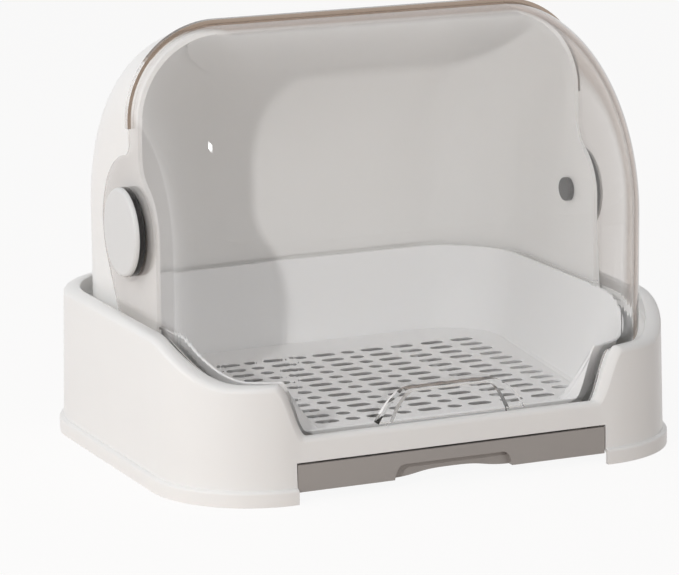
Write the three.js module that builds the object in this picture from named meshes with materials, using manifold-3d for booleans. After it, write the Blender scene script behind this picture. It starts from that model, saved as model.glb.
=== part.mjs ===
// Baby bottle drying rack with a flip-up clear lid, a slotted drain plate and a water drawer.
// Millimetres, +Z up, front towards -Y, origin at the middle of the footprint on the table.
import * as THREE from 'three';
import { mergeVertices } from 'three/addons/utils/BufferGeometryUtils.js';
import Module from 'manifold-3d';

const wasm = await Module();
wasm.setup();

// Overall sizes, which the lid, the hood, the tray and the drawer all follow
const bodyWidth = 315;
const bodyDepth = 255;
const overallHeight = 250;
const seatGap = 0.3;
const cutOverrun = 20;

// Clear lid: a drum round the hinge line with large rounded shoulders
const lidShoulder = 52;
const lidWall = 2.2;
const lidBeadHeight = 2;
const lidBeadWidth = 4;
const lidEarRadius = 43;
const lidEarFillet = 8;
const lidEarSlopeDegrees = 120;
const lidEdgeBelowRim = 4;
const lidBoreClearance = 0.35;

// Finger grip moulded into the lower front edge of the lid
const gripHalfWidth = 45;
const gripTopHalfWidth = 31;
const gripTopHeight = 56.5;
const gripBottomHeight = 38.3;
const gripReach = 6.5;
const gripCorner = 7;

// White hood: the rear half of the drum, inside the lid, with a shallow finger recess in its roof
const lidToHoodGap = 1.4;
const hoodWall = 2.5;
const hoodEdgeLead = 9;
const hoodEarRadius = 33;
const hoodEarFillet = 18;
const hoodSeatBelowRim = 12.5;
const hoodRecessHalfWidth = 84;
const hoodRecessCorner = 40;
const hoodRecessReach = 75;
const hoodRecessStart = 3;
const hoodRecessDepth = 2.2;

// Base shell: a drafted ring with a flange, a rolled rim and a drawer notch.
// The shelves are the widths of the rim between the wall and the groove for the lid.
const baseCorner = 60;
const baseWall = 2.5;
const flangeProjection = 2.5;
const flangeHeight = 8.5;
const flangeRound = 1.5;
const wallDraft = 1.5;
const rimBelowEar = 4;
const rimFrontHeight = 36.5;
const rimCornerShare = 20 / 33;
const rimRollHeight = 4;
const rimShelfSide = 8.5;
const rimShelfFront = 4;
const rimShelfRear = 6;
const grooveClearance = 3.5;
const grooveFloorWidth = 6.2;
const grooveFloorThickness = 1.8;
const grooveSideDepth = 11;
const grooveDepth = 3.5;
const lowOpeningInset = 7;
const frontRiseLength = 17;
const lipRiseDelay = 4;
const sideRiseDelay = 34.5;
const sideRiseLength = 66;
const wallLeanShare = 0.2;

// Deck inside the base, with its water opening
const deckTop = 26.5;
const deckThickness = 2.5;
const deckBite = 0.8;
const waterOpeningFrontMargin = 23.8;
const waterOpeningRearMargin = 13;
const waterOpeningCorner = 12;
const gussetThickness = 2.4;
const sideGussetShares = [0.11, 0.5];
const rearGussetShares = [-0.4, 0, 0.4];

// Inner tray with flared walls
const trayWall = 2;
const trayTopGap = 2.4;
const traySideDrop = 3;
const trayCornerDrop = 1.5;
const trayFrontGap = 6.6;
const trayCornerEase = 1.9;
const trayFootInset = 5.4;
const trayFootTaper = 27;
const trayFootThickness = 3.4;
const trayLedgeWidth = 9;
const trayEdgeRound = 0.7;
const trayRibWidth = 3;
const trayRibShares = [-0.44, 0, 0.44];

// Slotted drain plate: long and short slots in turn, then long ones only towards the right
const plateThickness = 1.8;
const plateClearance = 0.8;
const slotWidth = 5.4;
const longSlot = 14;
const shortSlot = 7.5;
const slotRowPitch = 13.25;
const slotRearMargin = 34.8;
const slotFrontMargin = 18;
const slotLeftMargin = 68.8;
const slotEdgeMargin = 4;
const alternatingPitch = 15.8;
const alternatingColumns = 7;
const longPitch = 20;

// Water drawer and its notch in the base
const notchInset = 2.5;
const notchHeight = 22.5;
const drawerSideGap = 0.6;
const drawerTopGap = 0.6;
const drawerFaceBottom = 6;
const drawerFaceRecess = 0.7;
const drawerFaceThickness = 2.5;
const drawerFaceOverlap = 9;
const drawerWall = 2;
const drawerBottom = 7;
const drawerTop = 20;
const drawerFrontSetback = 12.5;
const drawerRearRoom = 32.5;
const drawerCorner = 8;
const drawerRailReach = 5.5;
const drawerRailTop = 19;
const drawerRailThickness = 2;
const pullHalfWidth = 38;
const pullArchRise = 3;
const pullArchShoulder = 17;
const pullTop = 14.5;
const pullDepth = 4.5;
const pullBackThickness = 2;
const pullShoulder = 4.5;

// Drawer runners, screwed to the deck
const runnerSideGap = 0.7;
const runnerThickness = 2.5;
const runnerLedge = 4.2;
const runnerFlangeWidth = 12;
const runnerFrontInset = 9;
const runnerEndStop = 2.4;
const runnerScrewShares = [-0.72, 0.78];
const screwShankRadius = 1.4;
const screwHeadRadius = 3;
const screwHeadHeight = 1.6;
const screwHoleRadius = 1.7;

// Non-slip pads in the base's foot posts
const padRadius = 8.7;
const padHeight = 3.5;
const padEndMargin = 41.5;
const postRadius = 11;
const postRunnerGap = 3.3;
const postWebThickness = 2.5;
const postGroundClearance = 1;

// Pivot: a boss on the hood carries the lid, a ring and a cap that covers its face close it outside,
// and a broad button-headed screw inside the hood holds them
const bossRadius = 9.5;
const washerThickness = 0.8;
const washerRadius = 19;
const ringRadius = 25.3;
const ringThickness = 3.4;
const ringRim = 1.9;
const ringWeb = 1.6;
const ringHubRadius = 5;
const ringHubRoof = 0.6;
const ringEdgeRound = 0.5;
const capThickness = 2.6;
const capRound = 2.4;
const capCrown = 0.3;
const capSkin = 1.6;
const capSpigotWall = 1.5;
const capRoundShares = [0, 0.38, 0.71, 1];
const pivotScrewShank = 1.6;
const pivotScrewHead = 7;
const pivotScrewHeadHeight = 3.4;
const pivotScrewHeadRound = 1.2;

// Counts of facets, and how far cut meshes are tidied
const meshTolerance = 0.002;
const pivotFacets = 24;
const roundFacets = 16;
const smallRoundFacets = 12;
const shoulderFacets = 5;
const drumFacets = 28;
const cornerFacets = 7;
const boxCornerFacets = 3;
const slotEndFacets = 3;
const fineFacets = 12;
const curveFacets = 6;
const rollFacets = 4;
const frontRiseFacets = 6;
const sideRiseFacets = 8;
const betweenRisesFacets = 2;

// The lid fills the footprint inside the wall, the rim's shelf and the groove
const lidInset = flangeProjection + wallDraft + grooveClearance;
const lidHalfWidth = bodyWidth / 2 - lidInset - rimShelfSide;
const lidFront = bodyDepth / 2 - lidInset - rimShelfFront;
const lidRear = bodyDepth / 2 - lidInset - rimShelfRear;
const lidRadius = (lidFront + lidRear) / 2;
const pivotSetback = (lidRear - lidFront) / 2;
const pivotHeight = overallHeight - lidRadius - lidBeadHeight;
const hoodHalfWidth = lidHalfWidth - lidWall - lidToHoodGap;
const hoodRadius = lidRadius - lidWall - lidToHoodGap;
const hoodShoulder = lidShoulder - lidWall - lidToHoodGap;

// The rim stays below the lid's ears, and what follows the rim keeps its own distance from it
const rimSideHeight = pivotHeight - lidEarRadius - rimBelowEar;
const rimCornerHeight = rimFrontHeight + (rimSideHeight - rimFrontHeight) * rimCornerShare;
const grooveSideHeight = rimSideHeight - grooveSideDepth;
const grooveCornerHeight = rimCornerHeight - grooveDepth;
const grooveFrontHeight = rimFrontHeight - grooveDepth;
const hoodSeatHeight = rimSideHeight - hoodSeatBelowRim;
const lidSideEdgeHeight = rimSideHeight - lidEdgeBelowRim;
const lidCornerEdgeHeight = grooveCornerHeight + seatGap;
const lidFrontEdgeHeight = grooveFrontHeight + seatGap;
const traySideHeight = rimSideHeight - traySideDrop;
const trayCornerHeight = rimCornerHeight - trayCornerDrop;
const trayFrontHeight = rimFrontHeight;

// Solids and geometry

function toSolid(geometry) {
  const bare = geometry.index ? geometry.toNonIndexed() : geometry;
  bare.deleteAttribute('normal');
  bare.deleteAttribute('uv');
  const merged = mergeVertices(bare);
  const vertProperties = new Float32Array(merged.attributes.position.array);
  const triVerts = new Uint32Array(merged.index.array);
  return new wasm.Manifold(new wasm.Mesh({ numProp: 3, vertProperties, triVerts }));
}

function toGeometry(solid) {
  const mesh = solid.simplify(meshTolerance).getMesh();
  const geometry = new THREE.BufferGeometry();
  geometry.setAttribute('position', new THREE.BufferAttribute(new Float32Array(mesh.vertProperties), 3));
  geometry.setIndex(new THREE.BufferAttribute(new Uint32Array(mesh.triVerts), 1));
  geometry.computeVertexNormals();
  return geometry;
}

function block(x0, x1, y0, y1, z0, z1) {
  const geometry = new THREE.BoxGeometry(x1 - x0, y1 - y0, z1 - z0);
  geometry.translate((x0 + x1) / 2, (y0 + y1) / 2, (z0 + z1) / 2);
  return toSolid(geometry);
}

// Turned about Z, from pairs of radius and height
function turned(profile, facets) {
  const points = profile.map(([radius, height]) => new THREE.Vector2(radius, height));
  const geometry = new THREE.LatheGeometry(points, facets);
  geometry.rotateX(Math.PI / 2);
  return geometry;
}

// Turned about X, with heights running outwards along X, centred on the hinge line
function turnedOnPivot(profile, facets, side) {
  const geometry = turned(profile, facets);
  geometry.rotateY(side * Math.PI / 2);
  geometry.translate(0, pivotSetback, pivotHeight);
  return geometry;
}

function discProfile(radius, start, end) {
  return [[0, start], [radius, start], [radius, end], [0, end]];
}

function disc(radius, bottom, top, facets) {
  return turned(discProfile(radius, bottom, top), facets);
}

function discOnPivot(radius, inner, outer, facets, side) {
  return turnedOnPivot(discProfile(radius, inner, outer), facets, side);
}

// A shape in the XY plane raised along Z
function raised(shape, bottom, height, curveSegments) {
  const geometry = new THREE.ExtrudeGeometry(shape, { depth: height, bevelEnabled: false, curveSegments });
  geometry.translate(0, 0, bottom);
  return geometry;
}

// A shape drawn in Y (across the page) and Z (up the page), run along X
function runAlongX(shape, halfWidth, curveSegments) {
  const options = { depth: halfWidth * 2, bevelEnabled: false, curveSegments };
  const geometry = new THREE.ExtrudeGeometry(shape, options);
  geometry.translate(0, 0, -halfWidth);
  geometry.rotateX(Math.PI / 2);
  geometry.rotateZ(Math.PI / 2);
  return geometry;
}

// A shape drawn in X and Z, run along Y from the front face backwards
function runAlongY(shape, front, depth, curveSegments) {
  const geometry = new THREE.ExtrudeGeometry(shape, { depth, bevelEnabled: false, curveSegments });
  geometry.rotateX(Math.PI / 2);
  geometry.translate(0, front + depth, 0);
  return geometry;
}

// Plans: rounded rectangles that share one set of stations, so rings can be lofted between them

function plan(halfWidth, front, rear, corner, taper = 0) {
  return { halfWidth, front, rear, corner, taper };
}

function inset(outline, distance) {
  return {
    halfWidth: outline.halfWidth - distance,
    front: outline.front - distance,
    rear: outline.rear - distance,
    corner: outline.corner - distance,
    taper: outline.taper,
  };
}

function blend(a, b, share) {
  const mix = (p, q) => p + (q - p) * share;
  return {
    halfWidth: mix(a.halfWidth, b.halfWidth),
    front: mix(a.front, b.front),
    rear: mix(a.rear, b.rear),
    corner: mix(a.corner, b.corner),
    taper: mix(a.taper, b.taper),
  };
}

const flangePlan = plan(bodyWidth / 2, bodyDepth / 2, bodyDepth / 2, baseCorner);
const wallFootPlan = inset(flangePlan, flangeProjection);
const wallTopPlan = inset(wallFootPlan, wallDraft);
const lidPlan = plan(lidHalfWidth, lidFront, lidRear, lidShoulder);
const lipPlan = inset(lidPlan, -grooveClearance);
const grooveFloorPlan = inset(lipPlan, grooveFloorWidth);
const trayTopPlan = plan(
  hoodHalfWidth - hoodWall - trayTopGap,
  lidFront - trayFrontGap,
  hoodRadius - hoodWall - trayTopGap + pivotSetback,
  hoodShoulder - hoodWall + trayCornerEase,
);
const trayFootPlan = { ...inset(trayTopPlan, trayFootInset), taper: trayFootTaper };

// Distances along the outer wall, from the middle of the front to the middle of the back
const frontStraight = wallFootPlan.halfWidth - wallFootPlan.corner;
const cornerArc = wallFootPlan.corner * Math.PI / 2;
const sideStraight = wallFootPlan.front + wallFootPlan.rear - wallFootPlan.corner * 2;
const stretchLengths = [frontStraight, cornerArc, sideStraight, cornerArc, frontStraight];

// The low opening, the notch and the drawer follow the straight stretch of the front
const lowOpeningHalfWidth = frontStraight - lowOpeningInset;
const sideRiseStart = frontStraight + sideRiseDelay;
const notchHalfWidth = frontStraight - notchInset;
const drawerHalfWidth = notchHalfWidth - drawerFaceOverlap;
const drawerFaceFront = -wallFootPlan.front + drawerFaceRecess;
const drawerBoxFront = drawerFaceFront + drawerFrontSetback;
const drawerRear = bodyDepth / 2 - drawerRearRoom;
const runnerWebInner = drawerHalfWidth + drawerRailReach + runnerSideGap;
const runnerOuter = runnerWebInner + runnerThickness + runnerFlangeWidth;
const runnerFront = wallFootPlan.front - runnerFrontInset;
const runnerRear = drawerRear - drawerCorner + seatGap + runnerEndStop;
const padAcross = runnerOuter + postRunnerGap + postRadius;
const padAlong = bodyDepth / 2 - padEndMargin;

// Places along X, from the middle of the rack outwards, that the pivot pieces share
const bossEnd = lidHalfWidth + seatGap;
const ringBack = bossEnd + seatGap;
const ringHubHeight = ringThickness + capThickness - capSkin;
const pivotHoleRadius = pivotScrewShank + seatGap;

function rise(distance, start, length) {
  const share = THREE.MathUtils.clamp((distance - start) / length, 0, 1);
  return (1 - Math.cos(Math.PI * share)) / 2;
}

// The S-shaped rim: low across the front opening, higher round the corners, highest at the sides.
// The lip and all that follows it have rounder corners, so their first rise is delayed.
function rimLevel(distance, front, corner, side, delay) {
  const first = rise(distance, lowOpeningHalfWidth + delay, frontRiseLength);
  const second = rise(distance, sideRiseStart, sideRiseLength);
  return front + (corner - front) * first + (side - corner) * second;
}

function halfStations() {
  const marks = [
    [0, 1],
    [lowOpeningHalfWidth, frontRiseFacets],
    [lowOpeningHalfWidth + frontRiseLength + lipRiseDelay, betweenRisesFacets],
    [sideRiseStart, sideRiseFacets],
    [sideRiseStart + sideRiseLength, 1],
    [frontStraight + cornerArc + sideStraight, cornerFacets],
    [frontStraight + cornerArc * 2 + sideStraight, 1],
    [frontStraight * 2 + cornerArc * 2 + sideStraight, 0],
  ];
  const distances = [];
  for (let i = 0; i + 1 < marks.length; i += 1) {
    const [start, steps] = marks[i];
    const end = marks[i + 1][0];
    for (let k = 0; k < steps; k += 1) distances.push(start + (end - start) * k / steps);
  }
  distances.push(marks[marks.length - 1][0]);
  return distances;
}

// Every distance becomes a stretch number and the share of that stretch
function stationAt(distance) {
  let rest = distance;
  for (let stretch = 0; stretch < stretchLengths.length; stretch += 1) {
    const length = stretchLengths[stretch];
    if (rest <= length || stretch === stretchLengths.length - 1) {
      return { stretch, share: Math.min(rest / length, 1), distance };
    }
    rest -= length;
  }
  return null;
}

function onPlan(outline, station, side) {
  const { halfWidth, front, rear, corner, taper } = outline;
  const inner = halfWidth - corner;
  const angle = station.share * Math.PI / 2;
  let x = 0;
  let y = 0;
  if (station.stretch === 0) {
    x = inner * station.share;
    y = -front;
  } else if (station.stretch === 1) {
    x = inner + corner * Math.sin(angle);
    y = -front + corner - corner * Math.cos(angle);
  } else if (station.stretch === 2) {
    x = halfWidth;
    y = -front + corner + (front + rear - corner * 2) * station.share;
  } else if (station.stretch === 3) {
    x = inner + corner * Math.cos(angle);
    y = rear - corner + corner * Math.sin(angle);
  } else {
    x = inner * (1 - station.share);
    y = rear;
  }
  const narrowing = 1 - taper / halfWidth * (rear - y) / (front + rear);
  return new THREE.Vector2(side * x * narrowing, y);
}

const half = halfStations().map(stationAt);
const loop = [
  ...half.map((station) => ({ station, side: 1 })),
  ...half.slice(1, -1).reverse().map((station) => ({ station, side: -1 })),
];

// A closed ring: each section point is a plan and a height that may follow the rim
function ringLoft(section) {
  const positions = [];
  for (const { station, side } of loop) {
    for (const { outline, height } of section) {
      const point = onPlan(outline, station, side);
      const z = typeof height === 'function' ? height(station.distance) : height;
      positions.push(point.x, point.y, z);
    }
  }
  const indices = [];
  const across = section.length;
  for (let i = 0; i < loop.length; i += 1) {
    const next = (i + 1) % loop.length;
    for (let j = 0; j < across; j += 1) {
      const up = (j + 1) % across;
      const a = i * across + j;
      const b = next * across + j;
      const c = next * across + up;
      const d = i * across + up;
      indices.push(a, b, c, a, c, d);
    }
  }
  const geometry = new THREE.BufferGeometry();
  geometry.setAttribute('position', new THREE.BufferAttribute(new Float32Array(positions), 3));
  geometry.setIndex(indices);
  return geometry;
}

function planShape(outline) {
  return new THREE.Shape(loop.map(({ station, side }) => onPlan(outline, station, side)));
}

function roundedRectangle(x0, x1, y0, y1, corner) {
  const shape = new THREE.Shape();
  shape.moveTo(x0 + corner, y0);
  shape.lineTo(x1 - corner, y0);
  shape.absarc(x1 - corner, y0 + corner, corner, -Math.PI / 2, 0, false);
  shape.lineTo(x1, y1 - corner);
  shape.absarc(x1 - corner, y1 - corner, corner, 0, Math.PI / 2, false);
  shape.lineTo(x0 + corner, y1);
  shape.absarc(x0 + corner, y1 - corner, corner, Math.PI / 2, Math.PI, false);
  shape.lineTo(x0, y0 + corner);
  shape.absarc(x0 + corner, y0 + corner, corner, Math.PI, Math.PI * 3 / 2, false);
  return shape;
}

// The drum: a half round over the hinge line with straight walls below, and rounded shoulders
function drum(halfWidth, radius, shoulder, bottom) {
  const across = [[-halfWidth, 0]];
  for (let k = 0; k <= shoulderFacets; k += 1) {
    const angle = k / shoulderFacets * Math.PI / 2;
    across.push([
      -halfWidth + shoulder - shoulder * Math.cos(angle),
      radius - shoulder + shoulder * Math.sin(angle),
    ]);
  }
  for (let k = across.length - 1; k >= 0; k -= 1) across.push([-across[k][0], across[k][1]]);
  const rows = [{ y: -1, z: 0, level: bottom }];
  for (let k = 0; k <= drumFacets; k += 1) {
    const angle = (k / drumFacets - 1 / 2) * Math.PI;
    rows.push({ y: Math.sin(angle), z: Math.cos(angle), level: pivotHeight });
  }
  rows.push({ y: 1, z: 0, level: bottom });
  const positions = [];
  for (const row of rows) {
    for (const [x, reach] of across) {
      positions.push(x, pivotSetback + row.y * reach, row.level + row.z * reach);
    }
  }
  const indices = [];
  const width = across.length;
  for (let i = 0; i < rows.length; i += 1) {
    const next = (i + 1) % rows.length;
    for (let j = 0; j + 1 < width; j += 1) {
      const a = i * width + j;
      const b = i * width + j + 1;
      const c = next * width + j + 1;
      const d = next * width + j;
      indices.push(a, b, c, a, c, d);
    }
  }
  const geometry = new THREE.BufferGeometry();
  geometry.setAttribute('position', new THREE.BufferAttribute(new Float32Array(positions), 3));
  geometry.setIndex(indices);
  return closedSolid(geometry);
}

// Merges shared points and leaves out triangles that have no area
function closedSolid(geometry) {
  const merged = mergeVertices(geometry);
  const index = merged.index.array;
  const kept = [];
  for (let i = 0; i < index.length; i += 3) {
    const [a, b, c] = [index[i], index[i + 1], index[i + 2]];
    if (a !== b && b !== c && c !== a) kept.push(a, b, c);
  }
  const vertProperties = new Float32Array(merged.attributes.position.array);
  const triVerts = new Uint32Array(kept);
  return new wasm.Manifold(new wasm.Mesh({ numProp: 3, vertProperties, triVerts }));
}

function drumShell(halfWidth, radius, shoulder, wall, bottom) {
  const outside = drum(halfWidth, radius, shoulder, bottom);
  const inside = drum(halfWidth - wall, radius - wall, shoulder - wall, bottom - cutOverrun);
  return outside.subtract(inside);
}

// An outline beside the hinge: a straight edge above, an ear round the hinge and an edge below.
// The side is +1 where the ear bulges backwards and -1 where it bulges forwards.
function earOutline(side, lead, earRadius, fillet, lowerEdge) {
  const edge = pivotSetback + lead;
  const filletY = edge + side * fillet;
  const reach = earRadius + fillet;
  const filletZ = pivotHeight + Math.sqrt(reach ** 2 - (filletY - pivotSetback) ** 2);
  const toward = Math.atan2(filletZ - pivotHeight, filletY - pivotSetback);
  const far = -side * (lidRadius * 2);
  const top = overallHeight + cutOverrun;
  const shape = new THREE.Shape();
  shape.moveTo(edge, top);
  shape.lineTo(edge, filletZ);
  if (side > 0) {
    shape.absarc(filletY, filletZ, fillet, Math.PI, toward + Math.PI, false);
    shape.absarc(pivotSetback, pivotHeight, earRadius, toward, lowerEdge.angle, true);
  } else {
    shape.absarc(filletY, filletZ, fillet, 0, toward - Math.PI, true);
    shape.absarc(pivotSetback, pivotHeight, earRadius, toward, lowerEdge.angle, false);
  }
  shape.lineTo(lowerEdge.y, lowerEdge.z);
  shape.lineTo(far, lowerEdge.z);
  shape.lineTo(far, top);
  return shape;
}

// Base shell

function baseShell() {
  const rim = (distance, share) => (
    rimLevel(distance, rimFrontHeight, rimCornerHeight, rimSideHeight, lipRiseDelay * share)
  );
  const floor = (distance) => (
    rimLevel(distance, grooveFrontHeight, grooveCornerHeight, grooveSideHeight, lipRiseDelay)
  );
  const innerFoot = inset(wallFootPlan, baseWall);
  const innerTop = blend(inset(wallTopPlan, baseWall), lipPlan, wallLeanShare);
  const section = [
    { outline: flangePlan, height: 0 },
    { outline: flangePlan, height: flangeHeight - flangeRound },
    { outline: inset(flangePlan, flangeRound / 2), height: flangeHeight - flangeRound / 4 },
    { outline: wallFootPlan, height: flangeHeight },
    { outline: wallTopPlan, height: (distance) => rim(distance, 0) - rimRollHeight },
  ];
  for (let k = 1; k <= rollFacets; k += 1) {
    const angle = k / rollFacets * Math.PI / 2;
    const share = 1 - Math.cos(angle);
    section.push({
      outline: blend(wallTopPlan, lipPlan, share),
      height: (distance) => rim(distance, share) - rimRollHeight * (1 - Math.sin(angle)),
    });
  }
  section.push(
    { outline: lipPlan, height: floor },
    { outline: grooveFloorPlan, height: floor },
    { outline: grooveFloorPlan, height: (distance) => floor(distance) - grooveFloorThickness },
    { outline: innerTop, height: (distance) => floor(distance) - grooveFloorThickness * 2 },
    { outline: innerFoot, height: flangeHeight },
    { outline: inset(flangePlan, baseWall), height: flangeHeight - baseWall },
    { outline: inset(flangePlan, baseWall), height: 0 },
  );
  let shell = toSolid(ringLoft(section));
  shell = shell.add(deck()).add(gussets());
  for (const [x, y] of padPlaces()) {
    shell = shell.add(toSolid(disc(postRadius, postGroundClearance, deckTop, roundFacets)
      .translate(x, y, 0)));
  }
  for (const [x, y] of padPlaces()) {
    const pocketTop = padHeight + seatGap;
    const pocket = disc(padRadius + seatGap, -cutOverrun, pocketTop, roundFacets);
    const hollowStart = pocketTop + postWebThickness;
    const hollow = disc(postRadius - baseWall, hollowStart, deckTop + cutOverrun, roundFacets);
    shell = shell.subtract(toSolid(pocket.translate(x, y, 0)));
    shell = shell.subtract(toSolid(hollow.translate(x, y, 0)));
  }
  for (const [x, y] of runnerScrewSpots()) {
    const hole = disc(screwHoleRadius, -cutOverrun, deckTop + cutOverrun, smallRoundFacets);
    shell = shell.subtract(toSolid(hole.translate(x, y, 0)));
  }
  const notchDepth = flangeProjection + wallDraft + baseWall + grooveFloorWidth;
  const notch = block(
    -notchHalfWidth, notchHalfWidth,
    -bodyDepth / 2 - cutOverrun, -bodyDepth / 2 + notchDepth,
    -cutOverrun, notchHeight,
  );
  return shell.subtract(notch);
}

function deck() {
  const outline = inset(wallFootPlan, baseWall - deckBite);
  const sheet = toSolid(raised(planShape(outline), deckTop - deckThickness, deckThickness));
  const openingHalfWidth = drawerHalfWidth - drawerWall;
  const opening = roundedRectangle(
    -openingHalfWidth, openingHalfWidth,
    drawerBoxFront + waterOpeningFrontMargin, drawerRear - waterOpeningRearMargin,
    waterOpeningCorner,
  );
  const bottom = deckTop - deckThickness - cutOverrun;
  const cut = raised(opening, bottom, cutOverrun * 2 + deckThickness, boxCornerFacets);
  return sheet.subtract(toSolid(cut));
}

// Upright gussets inside the side and rear walls: the hood's skirt stands on them
function gussets() {
  const bottom = deckTop - deckThickness / 2;
  const innerX = trayTopPlan.halfWidth + seatGap * 2;
  const innerY = trayTopPlan.rear + seatGap * 2;
  const outerX = wallTopPlan.halfWidth - baseWall / 2;
  const outerY = wallTopPlan.rear - baseWall / 2;
  const halfThickness = gussetThickness / 2;
  let ribs = null;
  const join = (rib) => { ribs = ribs ? ribs.add(rib) : rib; };
  for (const share of sideGussetShares) {
    const y = wallTopPlan.rear * share;
    for (const side of [-1, 1]) {
      const rib = acrossX(side, innerX, outerX);
      join(block(...rib, y - halfThickness, y + halfThickness, bottom, hoodSeatHeight));
    }
  }
  for (const share of rearGussetShares) {
    const x = wallTopPlan.halfWidth * share;
    join(block(x - halfThickness, x + halfThickness, innerY, outerY, bottom, hoodSeatHeight));
  }
  return ribs;
}

function padPlaces() {
  return [[-padAcross, -padAlong], [padAcross, -padAlong], [-padAcross, padAlong], [padAcross, padAlong]];
}

// Inner tray: flared walls that follow the rim, a ledge for the plate and ribs across the opening

function innerTray() {
  const rim = (distance) => (
    rimLevel(distance, trayFrontHeight, trayCornerHeight, traySideHeight, lipRiseDelay)
  );
  const bottom = deckTop + seatGap;
  const ledgeTop = bottom + trayFootThickness;
  const outerFoot = inset(trayFootPlan, -trayWall);
  const ledgeEdge = inset(trayFootPlan, trayLedgeWidth);
  const section = [
    { outline: outerFoot, height: bottom },
    { outline: trayTopPlan, height: (distance) => rim(distance) - trayEdgeRound },
    { outline: inset(trayTopPlan, trayEdgeRound), height: rim },
    { outline: inset(trayTopPlan, trayWall - trayEdgeRound), height: rim },
    { outline: inset(trayTopPlan, trayWall), height: (distance) => rim(distance) - trayEdgeRound },
    { outline: trayFootPlan, height: ledgeTop },
    { outline: ledgeEdge, height: ledgeTop },
    { outline: ledgeEdge, height: bottom },
  ];
  let tray = toSolid(ringLoft(section));
  const reach = trayLedgeWidth / 2;
  for (const share of trayRibShares) {
    const x = trayFootPlan.halfWidth * share;
    tray = tray.add(block(
      x - trayRibWidth / 2, x + trayRibWidth / 2,
      -ledgeEdge.front - reach, ledgeEdge.rear + reach,
      bottom, ledgeTop,
    ));
  }
  return tray;
}

// Drain plate: rows of slots with round ends

function slotPath(start, end, y) {
  const radius = slotWidth / 2;
  const points = [];
  for (const side of [1, -1]) {
    const centre = side > 0 ? end - radius : start + radius;
    for (let k = 0; k <= slotEndFacets; k += 1) {
      const angle = (k / slotEndFacets - 1 / 2) * Math.PI;
      const x = centre + side * radius * Math.cos(angle);
      points.push(new THREE.Vector2(x, y + side * radius * Math.sin(angle)));
    }
  }
  return new THREE.Path(points);
}

// The columns of one row, as pairs of middle and length, from left to right
function slotColumns(outline) {
  const columns = [];
  let x = slotLeftMargin - outline.halfWidth;
  for (let column = 0; column < alternatingColumns; column += 1) {
    columns.push([x, column % 2 === 0 ? longSlot : shortSlot]);
    x += column + 1 < alternatingColumns ? alternatingPitch : longPitch;
  }
  for (; x < outline.halfWidth; x += longPitch) columns.push([x, longSlot]);
  return columns;
}

// Half width of a plan at a given place along its depth
function halfWidthAt(outline, y) {
  const { halfWidth, front, rear, corner, taper } = outline;
  const intoCorner = Math.max(y - (rear - corner), -front + corner - y, 0);
  const straight = halfWidth - corner + Math.sqrt(Math.max(corner ** 2 - intoCorner ** 2, 0));
  return straight * (1 - taper / halfWidth * (rear - y) / (front + rear));
}

function drainPlate() {
  const outline = inset(trayFootPlan, plateClearance);
  const shape = planShape(outline);
  const lastRow = slotFrontMargin - outline.front;
  for (let y = outline.rear - slotRearMargin; y > lastRow; y -= slotRowPitch) {
    const reach = halfWidthAt(outline, y) - slotEdgeMargin;
    for (const [x, length] of slotColumns(outline)) {
      const start = x - length / 2;
      const end = Math.min(x + length / 2, reach);
      if (start > -reach && end - start >= shortSlot) shape.holes.push(slotPath(start, end, y));
    }
  }
  const bottom = deckTop + seatGap + trayFootThickness + seatGap;
  return raised(shape, bottom, plateThickness);
}

// Water drawer: face with an arched lower edge and a finger pull, an open box and two rails

function pullOutline(halfWidth, top, bottom) {
  const shape = new THREE.Shape();
  const shoulderHeight = (top - drawerFaceBottom) * 2 / 3;
  shape.moveTo(-halfWidth, bottom);
  shape.bezierCurveTo(
    -halfWidth + pullShoulder / 3, drawerFaceBottom + shoulderHeight,
    -halfWidth + pullShoulder * 2 / 3, top,
    -halfWidth + pullShoulder * 2, top,
  );
  shape.lineTo(halfWidth - pullShoulder * 2, top);
  shape.bezierCurveTo(
    halfWidth - pullShoulder * 2 / 3, top,
    halfWidth - pullShoulder / 3, drawerFaceBottom + shoulderHeight,
    halfWidth, bottom,
  );
  return shape;
}

function archOutline(halfWidth, rise) {
  const shape = new THREE.Shape();
  const bottom = drawerFaceBottom - cutOverrun;
  shape.moveTo(-halfWidth, bottom);
  shape.lineTo(-halfWidth, drawerFaceBottom);
  shape.bezierCurveTo(
    -halfWidth + pullArchShoulder, drawerFaceBottom,
    -halfWidth + pullArchShoulder, drawerFaceBottom + rise,
    -halfWidth + pullArchShoulder * 2, drawerFaceBottom + rise,
  );
  shape.lineTo(halfWidth - pullArchShoulder * 2, drawerFaceBottom + rise);
  shape.bezierCurveTo(
    halfWidth - pullArchShoulder, drawerFaceBottom + rise,
    halfWidth - pullArchShoulder, drawerFaceBottom,
    halfWidth, drawerFaceBottom,
  );
  shape.lineTo(halfWidth, bottom);
  return shape;
}

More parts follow.
